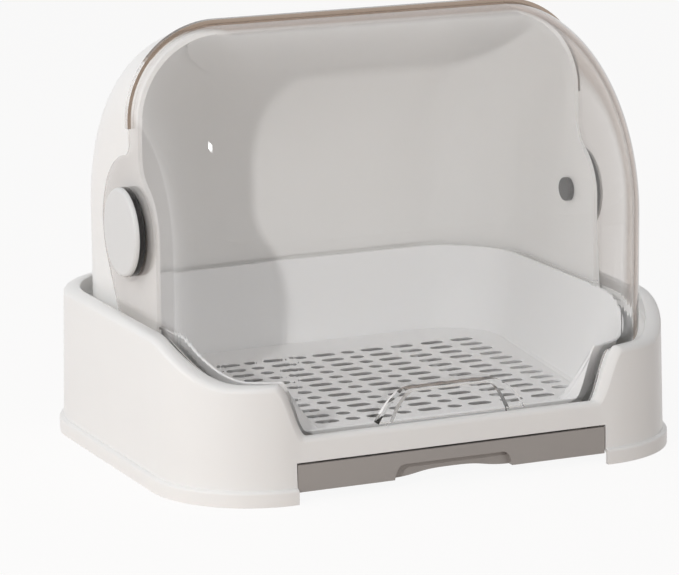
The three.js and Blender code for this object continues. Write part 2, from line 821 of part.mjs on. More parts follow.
function waterDrawer() {
  const faceBack = drawerFaceFront + drawerFaceThickness;
  const faceHalfWidth = notchHalfWidth - drawerSideGap;
  const faceTop = notchHeight - drawerTopGap;
  const pullBack = drawerFaceFront + pullDepth + pullBackThickness;
  const pullRoof = pullTop + drawerWall;
  const pocketHalfWidth = pullHalfWidth + drawerWall;
  let drawer = block(-faceHalfWidth, faceHalfWidth, drawerFaceFront, faceBack, drawerFaceBottom, faceTop);
  drawer = drawer.add(block(
    -pocketHalfWidth, pocketHalfWidth,
    drawerFaceFront, pullBack,
    drawerFaceBottom, pullRoof,
  ));
  drawer = drawer.add(drawerBox());
  const join = drawerWall / 2;
  const cheekOuter = drawerHalfWidth - drawerCorner;
  for (const side of [-1, 1]) {
    const cheek = acrossX(side, cheekOuter - drawerWall, cheekOuter);
    drawer = drawer.add(block(
      ...cheek,
      faceBack - join, drawerBoxFront + join,
      drawerBottom, drawerTop,
    ));
    const rail = acrossX(side, drawerHalfWidth - join, drawerHalfWidth + drawerRailReach);
    drawer = drawer.add(block(
      ...rail,
      drawerBoxFront + drawerCorner, drawerRear - drawerCorner,
      drawerRailTop - drawerRailThickness, drawerRailTop,
    ));
  }
  drawer = drawer.add(block(
    -cheekOuter, cheekOuter,
    faceBack - join, drawerBoxFront + join,
    drawerTop - drawerWall, drawerTop,
  ));
  const recess = runAlongY(
    pullOutline(pullHalfWidth, pullTop, drawerFaceBottom - cutOverrun),
    drawerFaceFront - cutOverrun, cutOverrun + pullDepth, curveFacets,
  );
  const arch = runAlongY(
    archOutline(pullHalfWidth, pullArchRise),
    drawerFaceFront - cutOverrun, cutOverrun * 2, curveFacets,
  );
  const archBack = block(
    -bodyWidth, bodyWidth,
    pullBack + seatGap, bodyDepth,
    -cutOverrun, bodyDepth,
  );
  return drawer.subtract(toSolid(recess)).subtract(toSolid(arch).subtract(archBack));
}

// The open box behind the drawer's face
function drawerBox() {
  const box = toSolid(raised(
    roundedRectangle(-drawerHalfWidth, drawerHalfWidth, drawerBoxFront, drawerRear, drawerCorner),
    drawerBottom, drawerTop - drawerBottom, boxCornerFacets,
  ));
  const inside = toSolid(raised(
    roundedRectangle(
      -drawerHalfWidth + drawerWall, drawerHalfWidth - drawerWall,
      drawerBoxFront + drawerWall, drawerRear - drawerWall,
      drawerCorner - drawerWall,
    ),
    drawerBottom + drawerWall, drawerTop - drawerBottom, boxCornerFacets,
  ));
  return box.subtract(inside);
}

// The lower and upper place along X of a stretch that is mirrored to the other side
function acrossX(side, inner, outer) {
  return side > 0 ? [inner, outer] : [-outer, -inner];
}

// Drawer runner: an L ledge under the rail, a web beside it and a flange under the deck

function runnerScrewSpots() {
  const x = runnerOuter - runnerFlangeWidth / 2;
  const [frontShare, rearShare] = runnerScrewShares;
  return [runnerFront * frontShare, runnerRear * rearShare].flatMap((y) => [[-x, y], [x, y]]);
}

function drawerRunner(side) {
  const webOuter = runnerWebInner + runnerThickness;
  const ledgeInner = runnerWebInner - runnerLedge;
  const ledgeTop = drawerRailTop - drawerRailThickness - seatGap;
  const ledgeBottom = ledgeTop - runnerThickness;
  const top = deckTop - deckThickness - seatGap;
  const shape = new THREE.Shape();
  shape.moveTo(side * ledgeInner, ledgeBottom);
  shape.lineTo(side * webOuter, ledgeBottom);
  shape.lineTo(side * webOuter, top - runnerThickness);
  shape.lineTo(side * runnerOuter, top - runnerThickness);
  shape.lineTo(side * runnerOuter, top);
  shape.lineTo(side * runnerWebInner, top);
  shape.lineTo(side * runnerWebInner, ledgeTop);
  shape.lineTo(side * ledgeInner, ledgeTop);
  let runner = toSolid(runAlongY(shape, -runnerFront, runnerFront + runnerRear));
  runner = runner.add(block(
    ...acrossX(side, ledgeInner, webOuter),
    runnerRear - runnerEndStop, runnerRear,
    ledgeBottom, drawerRailTop,
  ));
  for (const [x, y] of runnerScrewSpots()) {
    if (Math.sign(x) !== side) continue;
    const hole = disc(screwHoleRadius, ledgeBottom, deckTop, smallRoundFacets);
    runner = runner.subtract(toSolid(hole.translate(x, y, 0)));
  }
  return runner;
}

function runnerScrew() {
  const flangeBottom = deckTop - deckThickness - seatGap - runnerThickness;
  const headTop = flangeBottom - seatGap;
  const tip = deckTop - seatGap;
  return turned([
    [0, headTop - screwHeadHeight],
    [screwHeadRadius, headTop - screwHeadHeight],
    [screwHeadRadius, headTop],
    [screwShankRadius, headTop],
    [screwShankRadius, tip],
    [0, tip],
  ], smallRoundFacets);
}

// White hood

function rearHood() {
  const skirtBottom = hoodSeatHeight + seatGap;
  const shell = drumShell(hoodHalfWidth, hoodRadius, hoodShoulder, hoodWall, skirtBottom);
  const outline = earOutline(-1, -hoodEdgeLead, hoodEarRadius, hoodEarFillet, {
    angle: Math.PI,
    y: pivotSetback - hoodEarRadius,
    z: skirtBottom - cutOverrun,
  });
  let hood = shell.intersect(toSolid(runAlongX(outline, bodyWidth, fineFacets)));
  hood = hoodRecess(hood);
  for (const side of [-1, 1]) {
    const boss = discOnPivot(bossRadius, hoodHalfWidth - hoodWall / 2, bossEnd, pivotFacets, side);
    const holeStart = hoodHalfWidth - cutOverrun;
    const hole = discOnPivot(pivotHoleRadius, holeStart, bossEnd + cutOverrun, smallRoundFacets, side);
    hood = hood.add(toSolid(boss)).subtract(toSolid(hole));
  }
  return hood;
}

// Shallow finger recess in the hood's roof, behind the lid's rear edge
function recessOutline(grow) {
  const front = pivotSetback + hoodRecessStart - grow;
  const rear = pivotSetback + hoodRecessStart + hoodRecessReach + grow;
  const halfWidth = hoodRecessHalfWidth + grow;
  const corner = hoodRecessCorner + grow;
  const shape = new THREE.Shape();
  shape.moveTo(-halfWidth, front);
  shape.lineTo(halfWidth, front);
  shape.lineTo(halfWidth, rear - corner);
  shape.absarc(halfWidth - corner, rear - corner, corner, 0, Math.PI / 2, false);
  shape.lineTo(-halfWidth + corner, rear);
  shape.absarc(-halfWidth + corner, rear - corner, corner, Math.PI / 2, Math.PI, false);
  return shape;
}

function hoodRecess(hood) {
  const height = overallHeight + cutOverrun - pivotHeight;
  const wanted = (grow) => toSolid(raised(recessOutline(grow), pivotHeight, height, curveFacets));
  const drumAt = (depth) => drum(
    hoodHalfWidth - depth, hoodRadius - depth, hoodShoulder - depth, pivotHeight - cutOverrun,
  );
  const outerLayer = drumAt(-cutOverrun / 2).subtract(drumAt(hoodRecessDepth));
  const innerLayer = drumAt(hoodRecessDepth).subtract(drumAt(hoodRecessDepth + hoodWall));
  const floor = innerLayer.intersect(wanted(hoodWall));
  return hood.add(floor).subtract(outerLayer.intersect(wanted(0)));
}

// Clear lid

function clearLid() {
  const bottom = lidFrontEdgeHeight - grooveFloorThickness;
  const shell = drumShell(lidHalfWidth, lidRadius, lidShoulder, lidWall, bottom);
  const slope = THREE.MathUtils.degToRad(lidEarSlopeDegrees);
  const tangentAngle = Math.PI / 2 - slope;
  const leaveY = pivotSetback + lidEarRadius * Math.cos(tangentAngle);
  const leaveZ = pivotHeight + lidEarRadius * Math.sin(tangentAngle);
  const drop = leaveZ - bottom + cutOverrun;
  const outline = earOutline(1, 0, lidEarRadius, lidEarFillet, {
    angle: tangentAngle,
    y: leaveY - drop * Math.tan(slope - Math.PI / 2),
    z: leaveZ - drop,
  });
  const mask = toSolid(runAlongX(outline, bodyWidth, fineFacets));
  const edge = (distance) => (
    rimLevel(distance, lidFrontEdgeHeight, lidCornerEdgeHeight, lidSideEdgeHeight, lipRiseDelay)
  );
  const innerCutPlan = inset(grooveFloorPlan, lidWall);
  const below = toSolid(ringLoft([
    { outline: lipPlan, height: -cutOverrun },
    { outline: lipPlan, height: edge },
    { outline: grooveFloorPlan, height: edge },
    { outline: innerCutPlan, height: edge },
    { outline: innerCutPlan, height: -cutOverrun },
  ]));
  let lid = shell.intersect(mask).subtract(below);
  lid = lid.add(lidBead());
  lid = lidGrip(lid);
  for (const side of [-1, 1]) {
    const boreRadius = bossRadius + lidBoreClearance;
    const boreStart = hoodHalfWidth - cutOverrun;
    const bore = discOnPivot(boreRadius, boreStart, lidHalfWidth + cutOverrun, pivotFacets, side);
    lid = lid.subtract(toSolid(bore));
  }
  return lid;
}

// Raised bead along the rear edge of the lid, over the top and down to the ears
function lidBead() {
  const outside = drum(
    lidHalfWidth + lidBeadHeight, lidRadius + lidBeadHeight, lidShoulder + lidBeadHeight, pivotHeight,
  );
  const inside = drum(
    lidHalfWidth - lidWall / 2, lidRadius - lidWall / 2, lidShoulder - lidWall / 2, -cutOverrun,
  );
  const lowest = pivotHeight + lidEarRadius + lidEarFillet * 2;
  const band = block(
    -bodyWidth, bodyWidth,
    pivotSetback - lidBeadWidth, pivotSetback,
    lowest, overallHeight + cutOverrun,
  );
  return outside.subtract(inside).intersect(band);
}

function gripOutline(grow, bottom) {
  const shape = new THREE.Shape();
  const topHeight = gripTopHeight + grow;
  const topHalf = gripTopHalfWidth + grow;
  const bottomHalf = gripHalfWidth + grow;
  shape.moveTo(-bottomHalf, bottom);
  shape.quadraticCurveTo(-topHalf - gripCorner / 2, topHeight, -topHalf + gripCorner, topHeight);
  shape.lineTo(topHalf - gripCorner, topHeight);
  shape.quadraticCurveTo(topHalf + gripCorner / 2, topHeight, bottomHalf, bottom);
  return shape;
}

function lidGrip(lid) {
  const face = -lidFront - gripReach;
  const pocket = toSolid(runAlongY(
    gripOutline(0, gripBottomHeight),
    face, gripReach + lidWall / 2, curveFacets,
  ));
  const hollowFront = face + lidWall;
  const hollow = toSolid(runAlongY(
    gripOutline(-lidWall, gripBottomHeight - cutOverrun),
    hollowFront, gripReach + cutOverrun, curveFacets,
  ));
  return lid.add(pocket).subtract(hollow);
}

// Pivot pieces, from the inside out

function frictionWasher(side) {
  const inner = hoodHalfWidth + seatGap;
  return turnedOnPivot([
    [bossRadius + lidBoreClearance, inner],
    [washerRadius, inner],
    [washerRadius, inner + washerThickness],
    [bossRadius + lidBoreClearance, inner + washerThickness],
    [bossRadius + lidBoreClearance, inner],
  ], pivotFacets, side);
}

// The ring has a web at its back, a low rim that takes the cap and a hub with a blind hole for the screw
function pivotRing(side) {
  const front = ringBack + ringThickness;
  const webFront = ringBack + ringWeb;
  const hubFront = ringBack + ringHubHeight;
  const holeEnd = hubFront - ringHubRoof;
  const rimInner = ringRadius - ringRim;
  return turnedOnPivot([
    [pivotHoleRadius, ringBack],
    [ringRadius - ringEdgeRound, ringBack],
    [ringRadius, ringBack + ringEdgeRound],
    [ringRadius, front],
    [rimInner, front],
    [rimInner, webFront],
    [ringHubRadius, webFront],
    [ringHubRadius, hubFront],
    [0, hubFront],
    [0, holeEnd],
    [pivotHoleRadius, holeEnd],
    [pivotHoleRadius, ringBack],
  ], pivotFacets, side);
}

// The cap covers the ring's whole face and grips inside its rim with a thin spigot
function pivotCap(side) {
  const back = ringBack + ringThickness + seatGap;
  const front = back + capThickness;
  const spigotRadius = ringRadius - ringRim - seatGap;
  const spigotEnd = ringBack + ringWeb + seatGap;
  const underside = front - capSkin;
  const edge = capRoundShares.map((share) => {
    const angle = share * Math.PI / 2;
    const radius = ringRadius - capRound * (1 - Math.cos(angle));
    return [radius, front - capRound * (1 - Math.sin(angle))];
  });
  return turnedOnPivot([
    [0, underside],
    [spigotRadius - capSpigotWall, underside],
    [spigotRadius - capSpigotWall, spigotEnd],
    [spigotRadius, spigotEnd],
    [spigotRadius, back],
    [ringRadius, back],
    ...edge,
    [ringRadius / 2, front + capCrown * 3 / 4],
    [0, front + capCrown],
  ], pivotFacets, side);
}

function pivotScrew(side) {
  const headFront = hoodHalfWidth - hoodWall - seatGap;
  const headBack = headFront - pivotScrewHeadHeight;
  const tip = ringBack + ringHubHeight - ringHubRoof - seatGap;
  return turnedOnPivot([
    [0, headBack],
    [pivotScrewHead - pivotScrewHeadRound, headBack],
    [pivotScrewHead, headBack + pivotScrewHeadRound],
    [pivotScrewHead, headFront],
    [pivotScrewShank, headFront],
    [pivotScrewShank, tip],
    [0, tip],
  ], roundFacets, side);
}

function footPad() {
  return turned([
    [0, 0],
    [padRadius - seatGap, 0],
    [padRadius, seatGap],
    [padRadius, padHeight],
    [0, padHeight],
  ], roundFacets);
}

// Finishes
const whitePlastic = { color: 0xececea, roughness: 0.32, metalness: 0 };
const trayPlastic = { color: 0xe4e3e1, roughness: 0.4, metalness: 0 };
const greyPlastic = { color: 0x938a83, roughness: 0.42, metalness: 0 };
const darkPlastic = { color: 0x2b2a2a, roughness: 0.25, metalness: 0 };
const palePlastic = { color: 0xd6d6d5, roughness: 0.35, metalness: 0 };
const clearPlastic = { color: 0xc9bdb2, roughness: 0.05, metalness: 0, transparent: true, opacity: 0.3 };
const nylon = { color: 0xdedbd2, roughness: 0.5, metalness: 0 };
const steel = { color: 0xb4b6b8, roughness: 0.3, metalness: 1 };
const coatedSteel = { color: 0x2e2d2c, roughness: 0.35, metalness: 0 };
const padRubber = { color: 0x9d9c9a, roughness: 0.85, metalness: 0 };

const rack = new THREE.Group();

function addPiece(name, shape, finish, place = [0, 0, 0]) {
  const geometry = toGeometry(shape.isBufferGeometry ? toSolid(shape) : shape);
  const mesh = new THREE.Mesh(geometry, new THREE.MeshStandardMaterial(finish));
  mesh.name = name;
  mesh.position.set(place[0], place[1], place[2]);
  rack.add(mesh);
}

addPiece('base_shell', baseShell(), whitePlastic);
addPiece('inner_tray', innerTray(), trayPlastic);
addPiece('drain_plate', drainPlate(), trayPlastic);
addPiece('water_drawer', waterDrawer(), greyPlastic);
addPiece('rear_hood', rearHood(), whitePlastic);
addPiece('clear_lid', clearLid(), clearPlastic);

for (const side of [-1, 1]) {
  const hand = side < 0 ? 'left' : 'right';
  addPiece(`drawer_runner_${hand}`, drawerRunner(side), nylon);
  addPiece(`friction_washer_${hand}`, frictionWasher(side), nylon);
  addPiece(`pivot_ring_${hand}`, pivotRing(side), darkPlastic);
  addPiece(`pivot_cap_${hand}`, pivotCap(side), palePlastic);
  addPiece(`pivot_screw_${hand}`, pivotScrew(side), coatedSteel);
}

for (const [x, y] of runnerScrewSpots()) {
  const hand = x < 0 ? 'left' : 'right';
  const end = y < 0 ? 'front' : 'rear';
  addPiece(`runner_screw_${hand}_${end}`, runnerScrew(), steel, [x, y, 0]);
}

for (const [x, y] of padPlaces()) {
  const hand = x < 0 ? 'left' : 'right';
  const end = y < 0 ? 'front' : 'rear';
  addPiece(`foot_pad_${hand}_${end}`, footPad(), padRubber, [x, y, 0]);
}

export default rack;
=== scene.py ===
# %% [markdown]
# # A baby bottle drying rack, dressed in Blender
# The rack is a white moulded base with a drawer, a slotted plate in a flared tray, a white hood
# and a tinted clear lid that turns over the hood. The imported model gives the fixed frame, and
# every piece made here sits exactly where that frame says.

# %% Load the frame
import math

import bmesh
import bpy
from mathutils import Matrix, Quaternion, Vector


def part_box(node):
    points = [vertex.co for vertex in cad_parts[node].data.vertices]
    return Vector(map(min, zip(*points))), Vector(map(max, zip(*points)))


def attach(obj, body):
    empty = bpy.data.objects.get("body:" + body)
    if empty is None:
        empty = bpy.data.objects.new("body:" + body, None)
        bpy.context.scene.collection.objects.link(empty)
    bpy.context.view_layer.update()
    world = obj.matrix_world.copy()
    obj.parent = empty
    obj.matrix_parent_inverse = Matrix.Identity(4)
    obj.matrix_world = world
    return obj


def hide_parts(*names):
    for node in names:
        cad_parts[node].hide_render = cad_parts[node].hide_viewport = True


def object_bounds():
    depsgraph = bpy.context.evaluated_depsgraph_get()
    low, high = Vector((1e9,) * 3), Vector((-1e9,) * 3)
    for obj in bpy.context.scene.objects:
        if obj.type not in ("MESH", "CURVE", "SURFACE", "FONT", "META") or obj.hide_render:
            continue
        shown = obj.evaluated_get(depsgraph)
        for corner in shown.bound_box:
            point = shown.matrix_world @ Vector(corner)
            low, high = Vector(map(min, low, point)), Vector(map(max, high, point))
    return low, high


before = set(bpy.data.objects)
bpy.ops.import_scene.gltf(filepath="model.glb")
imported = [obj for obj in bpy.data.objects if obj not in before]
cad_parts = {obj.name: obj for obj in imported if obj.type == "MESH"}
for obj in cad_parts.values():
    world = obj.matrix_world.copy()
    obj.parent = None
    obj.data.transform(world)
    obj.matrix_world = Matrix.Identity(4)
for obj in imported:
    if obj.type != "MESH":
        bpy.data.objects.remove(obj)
cad_low, cad_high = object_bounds()
MM = 0.001
print("nodes:", len(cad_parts), "box in mm:", [round(v / MM, 1) for v in cad_high - cad_low])

# %% [markdown]
# ## Sizes
# The moulded pieces share a few sizes in millimetres. A drum turned round the hinge line gives the
# lid and the hood, and a rounded rectangle seen from above gives the base and the tray.

# %% Shared sizes in millimetres
PIVOT_Y = -1.0
PIVOT_Z = 133.0
GAP = 0.3
LID_HALF, LID_RADIUS, LID_SHOULDER, LID_WALL = 141.5, 115.0, 52.0, 2.2
LID_TO_HOOD = 1.4
HOOD_WALL = 2.5
HOOD_HALF = LID_HALF - LID_WALL - LID_TO_HOOD
HOOD_RADIUS = LID_RADIUS - LID_WALL - LID_TO_HOOD
HOOD_SHOULDER = LID_SHOULDER - LID_WALL - LID_TO_HOOD
BASE_WALL = 2.5
FLANGE_STEP, FLANGE_HEIGHT = 2.5, 8.5
WALL_DRAFT = 1.5
RIM_ROLL = 4.0
GROOVE_CLEARANCE, GROOVE_WIDTH, GROOVE_FLOOR = 3.5, 6.2, 1.8
OVERRUN = 20.0
ABOVE_ALL = cad_high.z / MM + OVERRUN
ACROSS_ALL = (-2 * LID_HALF, 2 * LID_HALF)
print("hood half width", round(HOOD_HALF, 1), "hood radius", round(HOOD_RADIUS, 1))

# %% [markdown]
# ## Plans and the S-shaped rim
# Seen from above, the base, the groove, the tray and the plate are the same rounded rectangle, moved in
# by a set distance. A place on it is given by the distance walked along the outer wall from the middle
# of the front, so that the rim's height can be written as one function of that distance.

# %% Rounded rectangles that share their stations


def plan(half_width, front, rear, corner, taper=0.0):
    return {"half_width": half_width, "front": front, "rear": rear, "corner": corner, "taper": taper}


def inset(outline, distance):
    moved = {key: outline[key] - distance for key in ("half_width", "front", "rear", "corner")}
    return {**moved, "taper": outline["taper"]}


def between(first, second, share):
    return {key: first[key] + (second[key] - first[key]) * share for key in first}


FLANGE_PLAN = plan(157.5, 127.5, 127.5, 60.0)
WALL_FOOT = inset(FLANGE_PLAN, FLANGE_STEP)
WALL_TOP = inset(WALL_FOOT, WALL_DRAFT)
LID_PLAN = plan(LID_HALF, LID_RADIUS - PIVOT_Y, LID_RADIUS + PIVOT_Y, LID_SHOULDER)
LIP_PLAN = inset(LID_PLAN, -GROOVE_CLEARANCE)
GROOVE_PLAN = inset(LIP_PLAN, GROOVE_WIDTH)
TRAY_GAP, TRAY_FRONT_GAP, TRAY_CORNER_EASE = 2.4, 6.6, 1.9
TRAY_TOP = plan(
    HOOD_HALF - HOOD_WALL - TRAY_GAP,
    LID_PLAN["front"] - TRAY_FRONT_GAP,
    HOOD_RADIUS - HOOD_WALL - TRAY_GAP + PIVOT_Y,
    HOOD_SHOULDER - HOOD_WALL + TRAY_CORNER_EASE,
)
TRAY_FOOT = {**inset(TRAY_TOP, 5.4), "taper": 27.0}

FRONT_RUN = WALL_FOOT["half_width"] - WALL_FOOT["corner"]
CORNER_RUN = WALL_FOOT["corner"] * math.pi / 2
SIDE_RUN = WALL_FOOT["front"] + WALL_FOOT["rear"] - 2 * WALL_FOOT["corner"]
RUNS = [FRONT_RUN, CORNER_RUN, SIDE_RUN, CORNER_RUN, FRONT_RUN]
TINY = 1e-9


def on_plan(outline, distance, side):
    stretch = 0
    rest = distance
    while stretch < len(RUNS) - 1 and rest > RUNS[stretch] + TINY:
        rest -= RUNS[stretch]
        stretch += 1
    share = min(rest / RUNS[stretch], 1.0)
    angle = share * math.pi / 2
    half, front, rear = outline["half_width"], outline["front"], outline["rear"]
    corner = outline["corner"]
    if stretch == 0:
        x, y = (half - corner) * share, -front
    elif stretch == 1:
        x = half - corner + corner * math.sin(angle)
        y = -front + corner - corner * math.cos(angle)
    elif stretch == 2:
        x, y = half, -front + corner + (front + rear - 2 * corner) * share
    elif stretch == 3:
        x = half - corner + corner * math.cos(angle)
        y = rear - corner + corner * math.sin(angle)
    else:
        x, y = (half - corner) * (1 - share), rear
    narrowing = 1 - outline["taper"] / half * (rear - y) / (front + rear)
    return side * x * narrowing, y


print("walked distances, front to back:", [round(run, 1) for run in RUNS])

# %% [markdown]
# The front stays low, and two eased rises lead up to the corner's and then to the side's height. The stations
# along the walk stand closer where the rim climbs or the plan turns.

# %% The rim's height along the walk
LOW_OPENING = 90.5
FRONT_RISE = 17.0
LIP_DELAY = 4.0
SIDE_RISE_START, SIDE_RISE = 132.0, 66.0


def eased(distance, start, length):
    share = min(max((distance - start) / length, 0.0), 1.0)
    return (1 - math.cos(math.pi * share)) / 2


def rim_level(distance, front, corner, side, delay=LIP_DELAY):
    first = eased(distance, LOW_OPENING + delay, FRONT_RISE)
    second = eased(distance, SIDE_RISE_START, SIDE_RISE)
    return front + (corner - front) * first + (side - corner) * second


FRONT_RISE_END = LOW_OPENING + FRONT_RISE + LIP_DELAY
SIDE_END = FRONT_RUN + CORNER_RUN + SIDE_RUN
# Each stop along half of the walk, and the number of steps that lead up to it.
STOPS = (
    (LOW_OPENING, 4), (FRONT_RISE_END, 26), (SIDE_RISE_START, 8), (SIDE_RISE_START + SIDE_RISE, 30),
    (SIDE_END, 4), (SIDE_END + CORNER_RUN, 24), (sum(RUNS), 4),
)
HALF_WALK = [0.0]
for stop, steps in STOPS:
    start = HALF_WALK.pop()
    HALF_WALK += [start + (stop - start) * k / steps for k in range(steps)] + [stop]
WALK = [(d, 1) for d in HALF_WALK] + [(d, -1) for d in reversed(HALF_WALK[1:-1])]
print("stations round the ring:", len(WALK))

# %% [markdown]
# ## Mesh helpers
# A moulded shell is a closed skin. It is drawn as a grid of points that wraps round, or as an outline that
# is pushed along one axis, and then cut and joined with Boolean modifiers, as a mould maker would do it.

# %% Grids and prisms
WELD_DISTANCE, SLIVER_LENGTH = 0.00001, 0.000001


def add_object(name, data):
    obj = bpy.data.objects.new(name, data)
    bpy.context.scene.collection.objects.link(obj)
    return obj


def mesh_object(name, points, faces):
    mesh = bpy.data.meshes.new(name)
    mesh.from_pydata([[c * MM for c in p] for p in points], [], faces)
    obj = add_object(name, mesh)
    work = bmesh.new()
    work.from_mesh(mesh)
    bmesh.ops.remove_doubles(work, verts=work.verts, dist=WELD_DISTANCE)
    bmesh.ops.dissolve_degenerate(work, edges=work.edges, dist=SLIVER_LENGTH)
    bmesh.ops.recalc_face_normals(work, faces=work.faces)
    work.to_mesh(mesh)
    work.free()
    return obj


def quads(rows, across, wrap_rows=True, wrap_across=True, start=0):
    """The faces between neighbours in rows of points, counted from the number start."""
    faces = []
    for i in range(rows if wrap_rows else rows - 1):
        near, far = start + i * across, start + (i + 1) % rows * across
        for k in range(across if wrap_across else across - 1):
            m = (k + 1) % across
            faces.append((near + k, near + m, far + m, far + k))
    return faces


def grid(name, rows):
    """A closed skin from rows of points: the rows wrap round, and so do the points in a row."""
    return mesh_object(name, [p for row in rows for p in row], quads(len(rows), len(rows[0])))


def ring(name, section):
    """A ring that follows the walk: each section point is a plan and a height."""
    rows = []
    for distance, side in WALK:
        row = []
        for outline, height in section:
            x, y = on_plan(outline, distance, side)
            row.append((x, y, height(distance) if callable(height) else height))
        rows.append(row)
    return grid(name, rows)


def prism(name, outline, axis, low, high):
    """An outline pushed from low to high along an axis. Its pairs are the other two axes, in order."""
    order = {
        "x": lambda a, b, c: (c, a, b),
        "y": lambda a, b, c: (a, c, b),
        "z": lambda a, b, c: (a, b, c),
    }[axis]
    count = len(outline)
    points = [order(a, b, low) for a, b in outline] + [order(a, b, high) for a, b in outline]
    ends = [tuple(range(count)), tuple(range(2 * count - 1, count - 1, -1))]
    return mesh_object(name, points, ends + quads(2, count, wrap_rows=False))


def block(name, x0, x1, y0, y1, z0, z1):
    return prism(name, [(x0, y0), (x1, y0), (x1, y1), (x0, y1)], "z", z0, z1)


def quarter_turn(steps, first=0):
    """The angles of a quarter turn in equal steps, from the first step on."""
    return [k / steps * math.pi / 2 for k in range(first, steps + 1)]


def arc(centre, radius, start, end, steps):
    """Points on an arc, in degrees, from start to end."""
    found = []
    for k in range(steps + 1):
        angle = math.radians(start + (end - start) * k / steps)
        found.append((centre[0] + radius * math.cos(angle), centre[1] + radius * math.sin(angle)))
    return found


def bezier(steps, *leads):
    """Points on a curve from the first lead to the last. The ones between pull it towards them."""
    found, order = [], len(leads) - 1
    for k in range(steps + 1):
        t = k / steps
        shares = [math.comb(order, i) * t**i * (1 - t) ** (order - i) for i in range(order + 1)]
        found.append(tuple(sum(s * p[axis] for s, p in zip(shares, leads)) for axis in (0, 1)))
    return found


def mirrored(left):
    """The left half of an outline, and the right half that mirrors it."""
    return left + [(-x, z) for x, z in reversed(left)]


print("a quarter round in four steps:", len(arc((0.0, 0.0), 1.0, 0, 90, 4)), "points")

# %% [markdown]
# A Boolean is applied at once, so that the next one works on its result. Then the sharp edges are rounded,
# and the shading is kept flat where the surface is flat.

# %% Cuts, rounded edges and seating


def apply_modifiers(obj):
    depsgraph = bpy.context.evaluated_depsgraph_get()
    made = bpy.data.meshes.new_from_object(obj.evaluated_get(depsgraph))
    obj.modifiers.clear()
    obj.data = made


def combine(target, operation, *tools):
    for tool in tools:
        boolean = target.modifiers.new(operation.lower(), "BOOLEAN")
        boolean.operation = operation
        boolean.solver = "MANIFOLD"
        boolean.object = tool
        bpy.context.view_layer.update()
        apply_modifiers(target)
        bpy.data.objects.remove(tool)
    return target


def join(target, *tools):
    return combine(target, "UNION", *tools)


def cut(target, *tools):
    return combine(target, "DIFFERENCE", *tools)


def keep(target, *tools):
    return combine(target, "INTERSECT", *tools)


def soften(obj, width, angle=35.0):
    """Rounds the sharp edges, which every moulded piece has, so that they catch the light."""
    bevel = obj.modifiers.new("edge_round", "BEVEL")
    bevel.width = width * MM
    bevel.segments = 2
    bevel.limit_method = "ANGLE"
    bevel.angle_limit = math.radians(angle)
    return obj


def smooth(obj, angle=32.0):
    apply_modifiers(obj)
    obj.data.shade_smooth()
    obj.data.set_sharp_from_angle(angle=math.radians(angle))
    weighted = obj.modifiers.new("even_shading", "WEIGHTED_NORMAL")
    weighted.keep_sharp = True
    return obj


def dress(obj, *finishes):
    obj.data.materials.clear()
    for finish in finishes:
        obj.data.materials.append(finish)


def seat(obj, body, slot_name, *nodes):
    """Puts a finished piece on its body, in place of the nodes that it stands for."""
    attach(obj, body)
    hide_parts(*nodes)
    print(obj.name, "faces:", len(obj.data.polygons))


print("helpers ready")

# %% [markdown]
# ## Finishes
# Nearly every visible piece is injection-moulded plastic. What tells them apart is how the mould was
# finished: a polished mould gives gloss with a faint orange peel, a spark-eroded one a fine matt grain.
# Colours are written as sRGB hex values, as a designer would pick them.

# %% Node helpers
SOAK_TINT, SOAK_DEPTH = (1.0, 0.9, 0.8), 0.0015
MOTTLE_LOW, MOTTLE_HIGH = 0.3, 0.7


def linear(hex_colour):
    channels = [int(hex_colour[i : i + 2], 16) / 255 for i in (1, 3, 5)]
    return [c / 12.92 if c <= 0.04045 else ((c + 0.055) / 1.055) ** 2.4 for c in channels] + [1.0]


def add_node(tree, kind, values=None, links=None, **settings):
    node = tree.nodes.new(kind)
    for name, value in settings.items():
        setattr(node, name, value)
    for socket, value in (values or {}).items():
        node.inputs[socket].default_value = value
    for socket, source in (links or {}).items():
        tree.links.new(source, node.inputs[socket])
    return node


def per_metre(size_mm):
    """The scale that makes one cell of a pattern this many millimetres wide."""
    return 1.0 / (size_mm * MM)


def new_material(name):
    material = bpy.data.materials.new(name)
    material.use_nodes = True
    material.node_tree.nodes.clear()
    return material, material.node_tree


